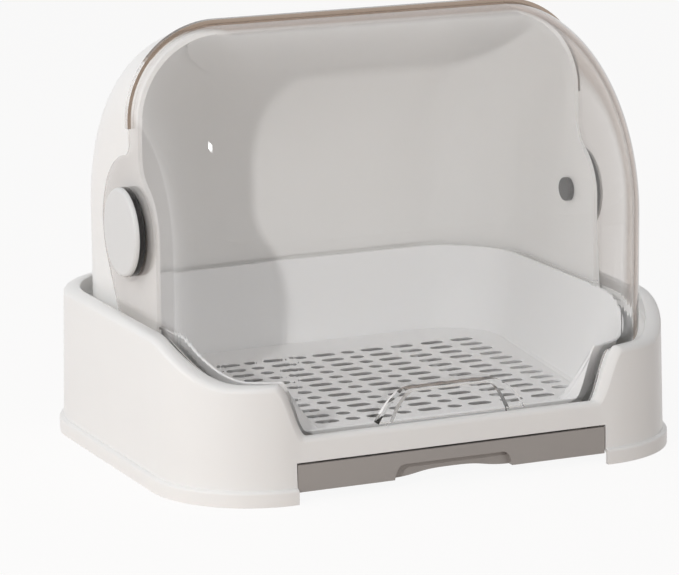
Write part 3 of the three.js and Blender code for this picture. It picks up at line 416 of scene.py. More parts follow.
def moulded(name, colours, roughness, ior, grain, mottle_mm, soft=0.0):
    """Moulded plastic: a faint change of tone and gloss over the surface, and the mould's own grain."""
    material, tree = new_material(name)
    place = add_node(tree, "ShaderNodeTexCoord")
    mottle = add_node(
        tree, "ShaderNodeTexNoise", {"Scale": per_metre(mottle_mm), "Detail": 3.0, "Roughness": 0.5},
        {"Vector": place.outputs["Object"]},
    )
    tone = add_node(
        tree, "ShaderNodeMix", {"A": linear(colours[0]), "B": linear(colours[1])},
        {"Factor": mottle.outputs["Fac"]}, data_type="RGBA",
    )
    gloss = add_node(
        tree, "ShaderNodeMapRange",
        {"From Min": MOTTLE_LOW, "From Max": MOTTLE_HIGH, "To Min": roughness[0], "To Max": roughness[1]},
        {"Value": mottle.outputs["Fac"]},
    )
    grain_mm, grain_depth_mm = grain
    grains = add_node(
        tree, "ShaderNodeTexNoise", {"Scale": per_metre(grain_mm), "Detail": 2.0, "Roughness": 0.55},
        {"Vector": place.outputs["Object"]},
    )
    bump = add_node(
        tree, "ShaderNodeBump", {"Strength": 1.0, "Distance": grain_depth_mm * MM},
        {"Height": grains.outputs["Fac"]},
    )
    soak = {"Subsurface Weight": soft, "Subsurface Radius": SOAK_TINT, "Subsurface Scale": SOAK_DEPTH}
    shader = add_node(
        tree, "ShaderNodeBsdfPrincipled", {"IOR": ior, **soak},
        {
            "Base Color": tone.outputs[2],
            "Roughness": gloss.outputs["Result"],
            "Normal": bump.outputs["Normal"],
        },
    )
    add_node(tree, "ShaderNodeOutputMaterial", links={"Surface": shader.outputs["BSDF"]})
    return material


print("white in linear light:", [round(c, 3) for c in linear("#EFEEEC")])

# %% [markdown]
# ### The white, grey and dark plastics
# The outer shells come from a polished mould, the tray and plate from a finely eroded one, and the drawer
# from a slightly coarser one.

# %% Opaque plastics
# After the two tones come the range of roughness, the IOR, the grain's size and depth in millimetres, and
# the mottle's size in millimetres. Soft plastics let a little light soak in.
ABS, POLYPROPYLENE = 1.54, 1.49
# A polished mould gives ABS a soft gloss, with an orange peel about 3 mm wide.
WHITE_ABS = moulded(
    "abs_white_polished", ("#EFEEEC", "#EDECEA"), (0.28, 0.33), ABS, (3.0, 0.0025), 40.0, soft=0.08,
)
# Polypropylene from an eroded mould is duller and a little translucent.
WHITE_PP = moulded(
    "polypropylene_white_eroded", ("#F6F6F6", "#F4F4F4"), (0.38, 0.46), POLYPROPYLENE, (0.8, 0.0015), 30.0,
    soft=0.1,
)
# The drawer's warm grey ABS is satin, so that the edges of its pull read softly.
GREY_ABS = moulded("abs_warm_grey_satin", ("#A39E9A", "#9F9A96"), (0.36, 0.46), ABS, (0.9, 0.006), 35.0)
# The ring's black ABS is polished, so that a thin bright streak runs along its rim.
BLACK_ABS = moulded("abs_black_polished", ("#191818", "#161515"), (0.10, 0.15), ABS, (1.2, 0.002), 20.0)
# The cap's pale ABS is polished like the shells, and a little greyer.
PALE_ABS = moulded("abs_pale_grey_polished", ("#D9D9D8", "#D5D5D4"), (0.28, 0.34), ABS, (2.5, 0.003), 25.0)
# Nylon is waxy and slightly yellow.
NYLON = moulded("nylon_natural", ("#DEDBD2", "#D8D5CB"), (0.42, 0.5), 1.53, (1.0, 0.005), 15.0, soft=0.1)
# Soft rubber scatters light and shows no highlight to speak of.
PAD_RUBBER = moulded("tpe_rubber_grey", ("#9D9C9A", "#949391"), (0.75, 0.85), 1.52, (0.6, 0.01), 8.0)
print("opaque plastics:", len(bpy.data.materials))

# %% [markdown]
# ### Tinted clear plastic
# The lid is clear styrene with a smoky brown tint. Tint in a clear plastic comes from the length of the path
# through it: a face seen squarely looks almost clear, and at the crest and the outline, where the eye looks
# along the wall, it turns brown and at last nearly black. Layer Weight gives that angle, and it only changes
# the colour of the light that the plastic lets through. Light that passes to the pieces behind takes a plain
# see-through shader, so that the inside is lit as it is under a thin clear cover.

# %% Clear styrene
STYRENE = 1.57
NEARLY_CLEAR, NEARLY_BLACK = "#FCFBFA", "#2A221D"
OUTLINE_START, OUTLINE_FULL = 0.61, 0.69
BLACK_START, BLACK_FULL = 0.82, 0.9


def clear_styrene(name, squarely, slanting, tint_start, tint_full, brown):
    """The colour seen squarely, and the tint seen at a slant. Angles run from 0, squarely, to 1, edge on."""
    material, tree = new_material(name)
    angle = add_node(tree, "ShaderNodeLayerWeight", {"Blend": 0.5}).outputs["Facing"]
    climbs = ((tint_start, tint_full), (BLACK_START, BLACK_FULL), (OUTLINE_START, OUTLINE_FULL))
    slant, deep, outline = (
        add_node(tree, "ShaderNodeMapRange", {"From Min": start, "From Max": full}, {"Value": angle})
        for start, full in climbs
    )
    face = add_node(
        tree, "ShaderNodeMix", {"A": linear(squarely), "B": linear(slanting)},
        {"Factor": slant.outputs["Result"]}, data_type="RGBA",
    )
    edge = add_node(
        tree, "ShaderNodeMix", {"A": linear(brown), "B": linear(NEARLY_BLACK)},
        {"Factor": deep.outputs["Result"]}, data_type="RGBA",
    )
    # A Mix node keeps its two colours in sockets 6 and 7, and gives the mixed one in output 2.
    tinted = add_node(
        tree, "ShaderNodeMix", data_type="RGBA",
        links={"Factor": outline.outputs["Result"], 6: face.outputs[2], 7: edge.outputs[2]},
    )
    clear = add_node(
        tree, "ShaderNodeBsdfPrincipled", {"IOR": STYRENE, "Roughness": 0.0, "Transmission Weight": 1.0},
        {"Base Color": tinted.outputs[2]},
    )
    through = add_node(tree, "ShaderNodeBsdfTransparent")
    path = add_node(tree, "ShaderNodeLightPath")
    inside = add_node(
        tree, "ShaderNodeMath", links={0: path.outputs["Is Shadow Ray"], 1: path.outputs["Is Diffuse Ray"]},
        operation="MAXIMUM",
    )
    mixed = add_node(
        tree, "ShaderNodeMixShader",
        links={0: inside.outputs[0], 1: clear.outputs["BSDF"], 2: through.outputs["BSDF"]},
    )
    add_node(tree, "ShaderNodeOutputMaterial", links={"Surface": mixed.outputs["Shader"]})
    return material


# Each face that a ray crosses lets the square root of its colour through. On the way out of the wall the
# angle is small, so a slanting wall is browned only once.
CLEAR_STYRENE = clear_styrene("styrene_tinted_clear", NEARLY_CLEAR, "#D3C2B3", 0.66, 0.8, "#6E584A")
# Where the eye meets the wall from inside the drum, it turns brown at a smaller slant.
INNER_STYRENE = clear_styrene("styrene_tinted_clear_inner", NEARLY_CLEAR, "#6B5A4E", 0.35, 0.6, "#6E584A")
# The bead along the crest and the cut edges show the most plastic, and so the most tint.
THICK_STYRENE = clear_styrene("styrene_tinted_clear_thick", "#A08E7F", "#8A796C", 0.2, 0.6, "#68564A")
print(CLEAR_STYRENE.name, INNER_STYRENE.name, THICK_STYRENE.name)

# %% [markdown]
# ### Zinc-plated steel
# The screws are turned steel with a bright zinc coat. A metal keeps the default IOR, and fine turning
# marks make its highlight a little uneven.

# %% Steel
TURNING_MARKS_MM = 0.4


def coated_steel(name, colour, metallic, roughness):
    material, tree = new_material(name)
    place = add_node(tree, "ShaderNodeTexCoord")
    marks = add_node(
        tree, "ShaderNodeTexNoise", {"Scale": per_metre(TURNING_MARKS_MM), "Detail": 3.0},
        {"Vector": place.outputs["Object"]},
    )
    gloss = add_node(
        tree, "ShaderNodeMapRange", {"To Min": roughness[0], "To Max": roughness[1]},
        {"Value": marks.outputs["Fac"]},
    )
    shader = add_node(
        tree, "ShaderNodeBsdfPrincipled", {"Base Color": linear(colour), "Metallic": metallic},
        {"Roughness": gloss.outputs["Result"]},
    )
    add_node(tree, "ShaderNodeOutputMaterial", links={"Surface": shader.outputs["BSDF"]})
    return material


STEEL = coated_steel("steel_zinc_plated", "#B9BBBD", 1.0, (0.22, 0.42))
# The broad pivot screw is painted dark over the steel, so it isn't metallic to the eye.
DARK_STEEL = coated_steel("steel_black_painted", "#4A4847", 0.0, (0.25, 0.4))
print(STEEL.name, DARK_STEEL.name)

# %% [markdown]
# ## The base shell
# One moulding: a flange at the foot, a wall that leans in slightly, a rolled rim that runs low across the
# front and climbs in two S-curves, and a groove behind it for the lid and the hood. A ring swept along the
# walk makes all of that at once, and the drawer's notch is then cut out of it.

# %% Base shell
RIM = (36.5, 66.5, 86.0)
GROOVE = (33.0, 63.0, 75.0)
NOTCH_HALF, NOTCH_TOP = 95.0, 22.5
DECK_TOP, DECK_THICK = 26.5, 2.5
DECK_OPENING = (-84.0, 84.0, -88.0, 82.0, 12.0)
NOTCH_DEPTH = 12.7
HOOD_SEAT = 73.5
SIDE_RIB_SHARES = (0.11, 0.5)
REAR_RIB_SHARES = (-0.4, 0.0, 0.4)
RIB_HALF, RIB_TO_TRAY, RIB_INTO_WALL, RIB_INTO_DECK = 1.2, 0.6, 1.2, 1.0
FOOT_PLACES = [(x, y) for y in (-86.0, 86.0) for x in (-121.0, 121.0)]
POST_RADIUS, POST_BOTTOM = 11.0, 1.0
POCKET_RADIUS, POCKET_TOP = 9.0, 3.8
HOLLOW_RADIUS, HOLLOW_BOTTOM = 8.5, 6.3


def rim(distance, share=1.0):
    return rim_level(distance, *RIM, LIP_DELAY * share)


def groove(distance):
    return rim_level(distance, *GROOVE)


def lowered(level, drop):
    return (lambda distance: level(distance) - drop) if callable(level) else level - drop


def quarter(first, second, level, drop, steps):
    """A rounded shoulder from one plan to another that ends at the level, drop below at its start."""
    found = []
    for angle in quarter_turn(steps, first=1):
        height = lowered(level, drop * (1 - math.sin(angle)))
        found.append((between(first, second, 1 - math.cos(angle)), height))
    return found


def rolled_rim(steps=12, lip_round=1.2):
    """The roll from the wall to the lip. Towards the lip its first rise comes a little later."""
    reach = 1 - lip_round / (WALL_TOP["half_width"] - LIP_PLAN["half_width"])
    found = []
    for angle in quarter_turn(steps):
        share, down = reach * (1 - math.cos(angle)), RIM_ROLL * (1 - math.sin(angle))
        found.append((between(WALL_TOP, LIP_PLAN, share), lambda d, s=share, z=down: rim(d, s) - z))
    for into, down in ((0.7, 0.3), (1.0, 1.0)):
        lip = between(WALL_TOP, LIP_PLAN, reach + (1 - reach) * into)
        found.append((lip, lowered(rim, lip_round * down)))
    return found


def base_section():
    flange_round = 1.5
    inner_foot = inset(WALL_FOOT, BASE_WALL)
    inner_top = between(inset(WALL_TOP, BASE_WALL), LIP_PLAN, 0.2)
    section = [(FLANGE_PLAN, 0.0), (FLANGE_PLAN, FLANGE_HEIGHT - flange_round)]
    section += quarter(FLANGE_PLAN, inset(FLANGE_PLAN, flange_round), FLANGE_HEIGHT, flange_round, 4)
    section += [(WALL_FOOT, FLANGE_HEIGHT + 0.4)]
    section += rolled_rim()
    section += [
        (LIP_PLAN, groove),
        (GROOVE_PLAN, groove),
        (GROOVE_PLAN, lowered(groove, GROOVE_FLOOR)),
        (inner_top, lowered(groove, GROOVE_FLOOR * 2)),
        (inner_foot, FLANGE_HEIGHT),
        (inset(FLANGE_PLAN, BASE_WALL), FLANGE_HEIGHT - BASE_WALL),
        (inset(FLANGE_PLAN, BASE_WALL), 0.0),
    ]
    return section


def plan_outline(outline):
    return [on_plan(outline, distance, side) for distance, side in WALK]


def rounded_box(x0, x1, y0, y1, corner, steps=6):
    left, right, front, rear = x0 + corner, x1 - corner, y0 + corner, y1 - corner
    centres = ((right, front), (right, rear), (left, rear), (left, front))
    return [p for k, centre in enumerate(centres) for p in arc(centre, corner, 90 * k - 90, 90 * k, steps)]


def circle(centre, radius, steps=40):
    return arc(centre, radius, 0, 360, steps)[:-1]


def disc(name, centre, radius, low, high):
    return prism(name, circle(centre, radius), "z", low, high)


def rib(x0, x1, y0, y1):
    return block("rib", x0, x1, y0, y1, DECK_TOP - RIB_INTO_DECK, HOOD_SEAT)


def base_shell():
    shell = ring("base_shell_moulding", base_section())
    deck_outline = plan_outline(inset(WALL_FOOT, BASE_WALL - 0.8))
    deck = prism("deck", deck_outline, "z", DECK_TOP - DECK_THICK, DECK_TOP)
    opening = prism("opening", rounded_box(*DECK_OPENING), "z", 0, DECK_TOP + OVERRUN)
    join(shell, cut(deck, opening))
    for share in SIDE_RIB_SHARES:
        y = WALL_TOP["rear"] * share
        inside, outside = TRAY_TOP["half_width"] + RIB_TO_TRAY, WALL_TOP["half_width"] - RIB_INTO_WALL
        for x0, x1 in ((-outside, -inside), (inside, outside)):
            join(shell, rib(x0, x1, y - RIB_HALF, y + RIB_HALF))
    for share in REAR_RIB_SHARES:
        x = WALL_TOP["half_width"] * share
        y0, y1 = TRAY_TOP["rear"] + RIB_TO_TRAY, WALL_TOP["rear"] - RIB_INTO_WALL
        join(shell, rib(x - RIB_HALF, x + RIB_HALF, y0, y1))
    for place in FOOT_PLACES:
        join(shell, disc("post", place, POST_RADIUS, POST_BOTTOM, DECK_TOP))
    for place in FOOT_PLACES:
        cut(shell, disc("pocket", place, POCKET_RADIUS, -OVERRUN, POCKET_TOP))
        cut(shell, disc("hollow", place, HOLLOW_RADIUS, HOLLOW_BOTTOM, DECK_TOP + OVERRUN))
    front = cad_low.y / MM
    y0, y1 = front - OVERRUN, front + NOTCH_DEPTH
    cut(shell, block("notch", -NOTCH_HALF, NOTCH_HALF, y0, y1, -OVERRUN, NOTCH_TOP))
    return smooth(soften(shell, 0.35))


base = base_shell()
dress(base, WHITE_ABS)
seat(base, "base", "white_abs", "base_shell")

# %% [markdown]
# ## The inner tray
# The tray stands on the deck. Its walls flare towards the top and follow the rim, so that its edge shows as
# a second, thinner line inside the lid. The corner between its wall and its ledge is rounded.

# %% Inner tray
TRAY = (36.5, 65.0, 83.0)
TRAY_WALL, LEDGE_WIDTH, LEDGE_THICK = 2.0, 9.0, 3.4
TRAY_BOTTOM = DECK_TOP + GAP
TRAY_RIB_SHARES, TRAY_RIB_HALF = (-0.44, 0.0, 0.44), 1.5


def tray_edge(distance):
    return rim_level(distance, *TRAY)


def inner_tray():
    edge_round, floor_round = 0.9, 3.0
    top = TRAY_BOTTOM + LEDGE_THICK
    inner_top = inset(TRAY_TOP, TRAY_WALL)
    section = [(inset(TRAY_FOOT, -TRAY_WALL), TRAY_BOTTOM), (TRAY_TOP, lowered(tray_edge, edge_round))]
    section += quarter(TRAY_TOP, inset(TRAY_TOP, edge_round), tray_edge, edge_round, 4)
    section += [(inset(TRAY_TOP, TRAY_WALL - edge_round * 0.3), lowered(tray_edge, edge_round * 0.3))]
    section += [(inner_top, lowered(tray_edge, edge_round))]
    section += [(between(TRAY_FOOT, inner_top, 0.08), top + floor_round)]
    section += quarter(TRAY_FOOT, inset(TRAY_FOOT, floor_round), top, -floor_round, 5)
    section += [(inset(TRAY_FOOT, LEDGE_WIDTH), top), (inset(TRAY_FOOT, LEDGE_WIDTH), TRAY_BOTTOM)]
    tray = ring("inner_tray_moulding", section)
    edge = inset(TRAY_FOOT, LEDGE_WIDTH / 2)
    for share in TRAY_RIB_SHARES:
        x = TRAY_FOOT["half_width"] * share
        x0, x1 = x - TRAY_RIB_HALF, x + TRAY_RIB_HALF
        join(tray, block("rib", x0, x1, -edge["front"], edge["rear"], TRAY_BOTTOM, top))
    return smooth(soften(tray, 0.3))


tray = inner_tray()
dress(tray, WHITE_PP)
seat(tray, "base", "white_pp", "inner_tray")

# %% [markdown]
# ## The drain plate
# A flat moulded plate with rows of long and short slots in turn. Each slot has round ends and widens
# downwards, so that drops fall off and the eye meets the dark below it. All the slots are cut in one go
# from a mesh that holds every one of them.

# %% Drain plate
SLOT_WIDTH, LONG_SLOT, SHORT_SLOT = 7.0, 14.4, 8.6
ROW_PITCH, ALTERNATING_PITCH, LONG_PITCH = 13.25, 15.8, 20.0
ALTERNATING_COLUMNS = 7
REAR_MARGIN, FRONT_MARGIN, LEFT_MARGIN, EDGE_MARGIN = 34.8, 18.0, 68.8, 4.0
PLATE_GAP, PLATE_THICK = 0.8, 1.8
SLOT_LAND, SLOT_FLARE = 0.25, 1.8


def half_width_at(outline, y):
    half, front, rear, corner = (outline[key] for key in ("half_width", "front", "rear", "corner"))
    into = max(y - (rear - corner), -front + corner - y, 0.0)
    straight = half - corner + math.sqrt(max(corner**2 - into**2, 0.0))
    return straight * (1 - outline["taper"] / half * (rear - y) / (front + rear))


def slot_columns(outline):
    """The middle and length of each slot in a row: long and short in turn, then long ones only."""
    x = LEFT_MARGIN - outline["half_width"]
    columns = []
    for column in range(ALTERNATING_COLUMNS):
        columns.append((x, SHORT_SLOT if column % 2 else LONG_SLOT))
        x += ALTERNATING_PITCH if column + 1 < ALTERNATING_COLUMNS else LONG_PITCH
    while x < outline["half_width"]:
        columns.append((x, LONG_SLOT))
        x += LONG_PITCH
    return columns


def slot_places(outline):
    found = []
    y = outline["rear"] - REAR_MARGIN
    while y > FRONT_MARGIN - outline["front"]:
        reach = half_width_at(outline, y) - EDGE_MARGIN
        for x, length in slot_columns(outline):
            start, end = x - length / 2, min(x + length / 2, reach)
            if end - start > SHORT_SLOT - GAP:
                found.append((start, end, y))
        y -= ROW_PITCH
    return found


def slot_cutter(places, levels):
    """One closed tube for each slot. Each level is a height and how far the slot is widened there."""
    points, faces = [], []
    radius = SLOT_WIDTH / 2
    for x0, x1, y in places:
        start = len(points)
        for height, wider in levels:
            turn = radius + wider
            outline = arc((x1 - radius, y), turn, -90, 90, 8) + arc((x0 + radius, y), turn, 90, 270, 8)
            points += [(a, b, height) for a, b in outline]
        count = len(outline)
        last = start + count * (len(levels) - 1)
        faces += [tuple(range(start, start + count)), tuple(range(last + count - 1, last - 1, -1))]
        faces += quads(len(levels), count, wrap_rows=False, start=start)
    return mesh_object("slots", points, faces)


def drain_plate():
    outline = inset(TRAY_FOOT, PLATE_GAP)
    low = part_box("drain_plate")[0].z / MM
    plate = prism("drain_plate_moulding", plan_outline(outline), "z", low, low + PLATE_THICK)
    places = slot_places(outline)
    land = low + PLATE_THICK - SLOT_LAND
    levels = [(low - 1.0, SLOT_FLARE), (low, SLOT_FLARE), (land, 0.0), (low + OVERRUN, 0.0)]
    cut(plate, slot_cutter(places, levels))
    print("slots:", len(places))
    return smooth(soften(plate, 0.12, angle=60.0))


plate = drain_plate()
dress(plate, WHITE_PP)
seat(plate, "plate", "white_pp", "drain_plate")

# %% [markdown]
# ## Drums for the hood and the lid
# Both are halves of one form: a half round over the hinge line, straight walls below it, and rounded
# shoulders towards the sides. The drum is drawn as a grid whose rows turn round the hinge.

# %% Drum
HOOD_DRUM = (HOOD_HALF, HOOD_RADIUS, HOOD_SHOULDER)
LID_DRUM = (LID_HALF, LID_RADIUS, LID_SHOULDER)
SHOULDER_STEPS, TURN_STEPS = 24, 96


def drum(name, sizes, depth, bottom):
    """A solid drum whose skin lies this deep inside the given one, or outside it where depth is negative."""
    half, radius, shoulder = (size - depth for size in sizes)
    across = [(-half, 0.0)]
    for angle in quarter_turn(SHOULDER_STEPS):
        x = -half + shoulder - shoulder * math.cos(angle)
        across.append((x, radius - shoulder + shoulder * math.sin(angle)))
    across += [(-x, reach) for x, reach in reversed(across)]
    rows = [(-1.0, 0.0, bottom)]
    for k in range(TURN_STEPS + 1):
        angle = (k / TURN_STEPS - 0.5) * math.pi
        rows.append((math.sin(angle), math.cos(angle), PIVOT_Z))
    rows.append((1.0, 0.0, bottom))
    points = [(x, PIVOT_Y + y * reach, level + z * reach) for y, z, level in rows for x, reach in across]
    return mesh_object(name, points, quads(len(rows), len(across), wrap_across=False))


def drum_shell(name, sizes, wall, bottom):
    inside = drum("inside", sizes, wall, bottom - OVERRUN)
    return cut(drum(name, sizes, 0.0, bottom), inside)


def turned_on_pivot(name, profile, side, steps=64):
    """A profile of radius and distance along X, turned round the hinge line."""
    rows = []
    for k in range(steps):
        angle = 2 * math.pi * k / steps
        rows.append([
            (side * out, PIVOT_Y + radius * math.cos(angle), PIVOT_Z + radius * math.sin(angle))
            for radius, out in profile
        ])
    return grid(name, rows)


def pivot_rod(name, radius, start, end, side):
    profile = [(0.0, start), (radius, start), (radius, end), (0.0, end)]
    return turned_on_pivot(name, profile, side)


def ear_outline(side, edge, ear_radius, fillet, leave_degrees, last):
    """The edge seen from the side: straight above, then an ear round the hinge."""
    centre_y = edge + side * fillet
    reach = ear_radius + fillet
    centre_z = PIVOT_Z + math.sqrt(reach**2 - (centre_y - PIVOT_Y) ** 2)
    toward = math.degrees(math.atan2(centre_z - PIVOT_Z, centre_y - PIVOT_Y))
    far = -side * 2 * LID_RADIUS
    turn = side * 180.0
    outline = [(edge, ABOVE_ALL)] + arc((centre_y, centre_z), fillet, max(turn, 0.0), toward + turn, 12)
    outline += arc((PIVOT_Y, PIVOT_Z), ear_radius, toward, leave_degrees, 32)[1:]
    outline += [last, (far, last[1]), (far, ABOVE_ALL)]
    return outline


print("drum faces:", (TURN_STEPS + 3) * (2 * SHOULDER_STEPS + 3))

# %% [markdown]
# ## The rear hood
# The hood is the white back half of the drum. Its front edge stands upright beside the lid, swells forward
# round the hinge, and carries a hollow boss on each side on which the lid turns. A shallow finger recess
# is moulded in its roof, and a groove inside it, just above the tray's edge, reads as a dark seam.

# %% Rear hood
HOOD_SKIRT = 73.8
HOOD_EDGE = PIVOT_Y - 9.0
HOOD_EAR, HOOD_FILLET = 33.0, 18.0
BOSS_RADIUS, BOSS_ROOT = 9.5, 1.2
SCREW_HOLE = 1.9
RECESS_HALF, RECESS_START, RECESS_REACH, RECESS_CORNER, RECESS_DEPTH = 84.0, 3.0, 75.0, 40.0, 2.2
SEAM_DEPTH, SEAM_HEIGHT = 1.4, 1.5


def recess_outline(grow):
    half, front = RECESS_HALF + grow, PIVOT_Y + RECESS_START - grow
    rear, corner = PIVOT_Y + RECESS_START + RECESS_REACH + grow, RECESS_CORNER + grow
    return (
        [(-half, front), (half, front)]
        + arc((half - corner, rear - corner), corner, 0, 90, 16)
        + arc((-half + corner, rear - corner), corner, 90, 180, 16)
    )


def hood_layer(name, outer, inner, grow):
    """The recess's part of the layer between two depths below the hood's skin."""
    low = PIVOT_Z - OVERRUN
    layer = cut(drum(name, HOOD_DRUM, outer, low), drum("inner", HOOD_DRUM, inner, low))
    wanted = prism("wanted", recess_outline(grow), "z", PIVOT_Z, ABOVE_ALL)
    return keep(layer, wanted)


def hood_seam():
    outer, inner = inset(TRAY_TOP, -TRAY_GAP - SEAM_DEPTH), inset(TRAY_TOP, TRAY_GAP)
    low, high = TRAY[2] - SEAM_HEIGHT / 4, TRAY[2] + SEAM_HEIGHT
    return ring("seam", [(inner, low), (outer, low), (outer, high), (inner, high)])


def rear_hood():
    hood = drum_shell("rear_hood_moulding", HOOD_DRUM, HOOD_WALL, HOOD_SKIRT)
    last = (PIVOT_Y - HOOD_EAR, HOOD_SKIRT - OVERRUN)
    ear = ear_outline(-1, HOOD_EDGE, HOOD_EAR, HOOD_FILLET, 180.0, last)
    keep(hood, prism("ear", ear, "x", *ACROSS_ALL))
    join(hood, hood_layer("floor", RECESS_DEPTH, RECESS_DEPTH + HOOD_WALL, HOOD_WALL))
    cut(hood, hood_layer("hollow", -OVERRUN / 2, RECESS_DEPTH, 0.0), hood_seam())
    start, end = HOOD_HALF - BOSS_ROOT, LID_HALF + GAP
    inside = HOOD_HALF - HOOD_WALL - OVERRUN
    for side in (-1, 1):
        join(hood, pivot_rod("boss", BOSS_RADIUS, start, end, side))
        cut(hood, pivot_rod("hole", SCREW_HOLE, inside, end + OVERRUN, side))
    return smooth(soften(hood, 0.4))


hood = rear_hood()
dress(hood, WHITE_ABS)
seat(hood, "base", "white_abs", "rear_hood")

# %% [markdown]
# ## The clear lid
# The lid is the front half of the drum, a wall thickness and a running gap outside the hood. Its lower edge
# follows the rim's S-curves, its rear edge has a raised bead and swells into an ear round the hinge, and a
# finger grip is pushed out of its lower front edge.

# %% Clear lid
GRIP_HALF, GRIP_TOP_HALF, GRIP_TOP, GRIP_BOTTOM, GRIP_REACH, GRIP_CORNER = 45.0, 31.0, 56.5, 38.3, 6.5, 7.0
LID_EDGE = (GROOVE[0] + GAP, GROOVE[1] + GAP, 82.0)
LID_EAR, LID_FILLET, EAR_LEAVES = 43.0, 8.0, 30.0
BEAD, BEAD_DEPTH, BEAD_WIDTH, BEAD_ABOVE_EAR = 2.0, 1.1, 4.0, 16.0
BORE_RADIUS = BOSS_RADIUS + 0.35


def lid_edge(distance):
    return rim_level(distance, *LID_EDGE)


def grip_outline(grow, bottom):
    top, top_half, half = GRIP_TOP + grow, GRIP_TOP_HALF + grow, GRIP_HALF + grow
    corner, end = (-top_half - GRIP_CORNER / 2, top), (-top_half + GRIP_CORNER, top)
    return mirrored(bezier(16, (-half, bottom), corner, end))


def lid_ear(bottom):
    slope = math.radians(EAR_LEAVES)
    leave = (PIVOT_Y + LID_EAR * math.cos(-slope), PIVOT_Z + LID_EAR * math.sin(-slope))
    drop = leave[1] - bottom + OVERRUN
    last = (leave[0] - drop * math.tan(slope), leave[1] - drop)
    outline = ear_outline(1, PIVOT_Y, LID_EAR, LID_FILLET, -EAR_LEAVES, last)
    return prism("ear", outline, "x", *ACROSS_ALL)


def below_the_lid():
    inside = inset(GROOVE_PLAN, LID_WALL)
    section = [(LIP_PLAN, -OVERRUN), (LIP_PLAN, lid_edge), (GROOVE_PLAN, lid_edge)]
    return ring("below", section + [(inside, lid_edge), (inside, -OVERRUN)])


def crest_bead():
    skin = drum("bead", LID_DRUM, -BEAD, PIVOT_Z)
    cut(skin, drum("inside", LID_DRUM, BEAD_DEPTH, -OVERRUN))
    lowest = PIVOT_Z + LID_EAR + BEAD_ABOVE_EAR
    band = block("band", *ACROSS_ALL, PIVOT_Y - BEAD_WIDTH, PIVOT_Y, lowest, ABOVE_ALL)
    return keep(skin, band)


def clear_lid():
    bottom = LID_EDGE[0] - GROOVE_FLOOR
    lid = drum_shell("clear_lid_moulding", LID_DRUM, LID_WALL, bottom)
    keep(lid, lid_ear(bottom))
    cut(lid, below_the_lid())
    join(lid, crest_bead())
    face = -LID_PLAN["front"] - GRIP_REACH
    back = face + GRIP_REACH + LID_WALL / 2
    pocket = prism("pocket", grip_outline(0.0, GRIP_BOTTOM), "y", face, back)
    inside = grip_outline(-LID_WALL, GRIP_BOTTOM - OVERRUN)
    join(lid, pocket)
    cut(lid, prism("hollow", inside, "y", face + LID_WALL, face + OVERRUN))
    for side in (-1, 1):
        cut(lid, pivot_rod("bore", BORE_RADIUS, HOOD_HALF - OVERRUN, LID_HALF + OVERRUN, side))
    return smooth(soften(lid, 0.5))


lid = clear_lid()

# %% [markdown]
# Every face of the lid takes the finish of its place: the bead and the cut edges, the inside, or the outside.
# A face's direction is held against the line from the drum's core to the face.

# %% The lid's three finishes
OUTSIDE, INSIDE, THICK = 0, 1, 2
CORE_HALF = 100.0
BEAD_REACH, BEAD_START = BEAD_WIDTH + 0.6, 95.0
EDGE_TURN, FRONT_SKIN = 0.35, 4.0


def lid_finish(face):
    x, y, z = face.center / MM
    core = Vector((max(-CORE_HALF, min(CORE_HALF, x)), PIVOT_Y, min(z, PIVOT_Z)))
    turned_out = face.normal.dot((Vector((x, y, z)) - core).normalized())
    on_bead = y > PIVOT_Y - BEAD_REACH and z > PIVOT_Z + BEAD_START
    on_edge = abs(turned_out) < EDGE_TURN and y > -LID_PLAN["front"] + FRONT_SKIN
    if on_bead or on_edge:
        return THICK
    return INSIDE if turned_out < 0 else OUTSIDE


dress(lid, CLEAR_STYRENE, INNER_STYRENE, THICK_STYRENE)
for face in lid.data.polygons:
    face.material_index = lid_finish(face)
seat(lid, "lid", "tinted_clear", "clear_lid")

# %% [markdown]
# ## The water drawer
# The face has an arched lower edge with a scooped finger pull above it. Behind it is an open box with a
# flange on each side that rides on the runners.

# %% Water drawer
DRAWER_FRONT = -WALL_FOOT["front"] + 0.7
FACE_THICK, FACE_BOTTOM, FACE_TOP = 2.5, 6.0, 21.3
PULL_HALF, PULL_TOP, PULL_DEPTH, PULL_SHOULDER = 38.0, 14.5, 4.5, 4.5
ARCH_RISE, ARCH_SHOULDER = 3.0, 17.0
FACE_HALF, FACE_TO_BOX = 94.4, 12.5
DRAWER_HALF, DRAWER_WALL, DRAWER_BOTTOM, DRAWER_TOP, DRAWER_REAR = 86.0, 2.0, 7.0, 20.0, 95.0
DRAWER_CORNER, DRAWER_LAP = 8.0, 1.0
RAIL_REACH, RAIL_LOW, RAIL_HIGH = 5.5, 17.0, 19.0


def pull_outline():
    bottom, shoulder = FACE_BOTTOM - OVERRUN, FACE_BOTTOM + (PULL_TOP - FACE_BOTTOM) * 2 / 3
    start, third = -PULL_HALF, PULL_SHOULDER / 3
    low, high = (start + third, shoulder), (start + PULL_SHOULDER * 2 / 3, PULL_TOP)
    return mirrored(bezier(16, (start, bottom), low, high, (start + PULL_SHOULDER * 2, PULL_TOP)))


def arch_outline():
    low, high = FACE_BOTTOM, FACE_BOTTOM + ARCH_RISE
    start, middle, end = -PULL_HALF, -PULL_HALF + ARCH_SHOULDER, -PULL_HALF + ARCH_SHOULDER * 2
    rise = bezier(16, (start, low), (middle, low), (middle, high), (end, high))
    return mirrored([(start, low - OVERRUN)] + rise)


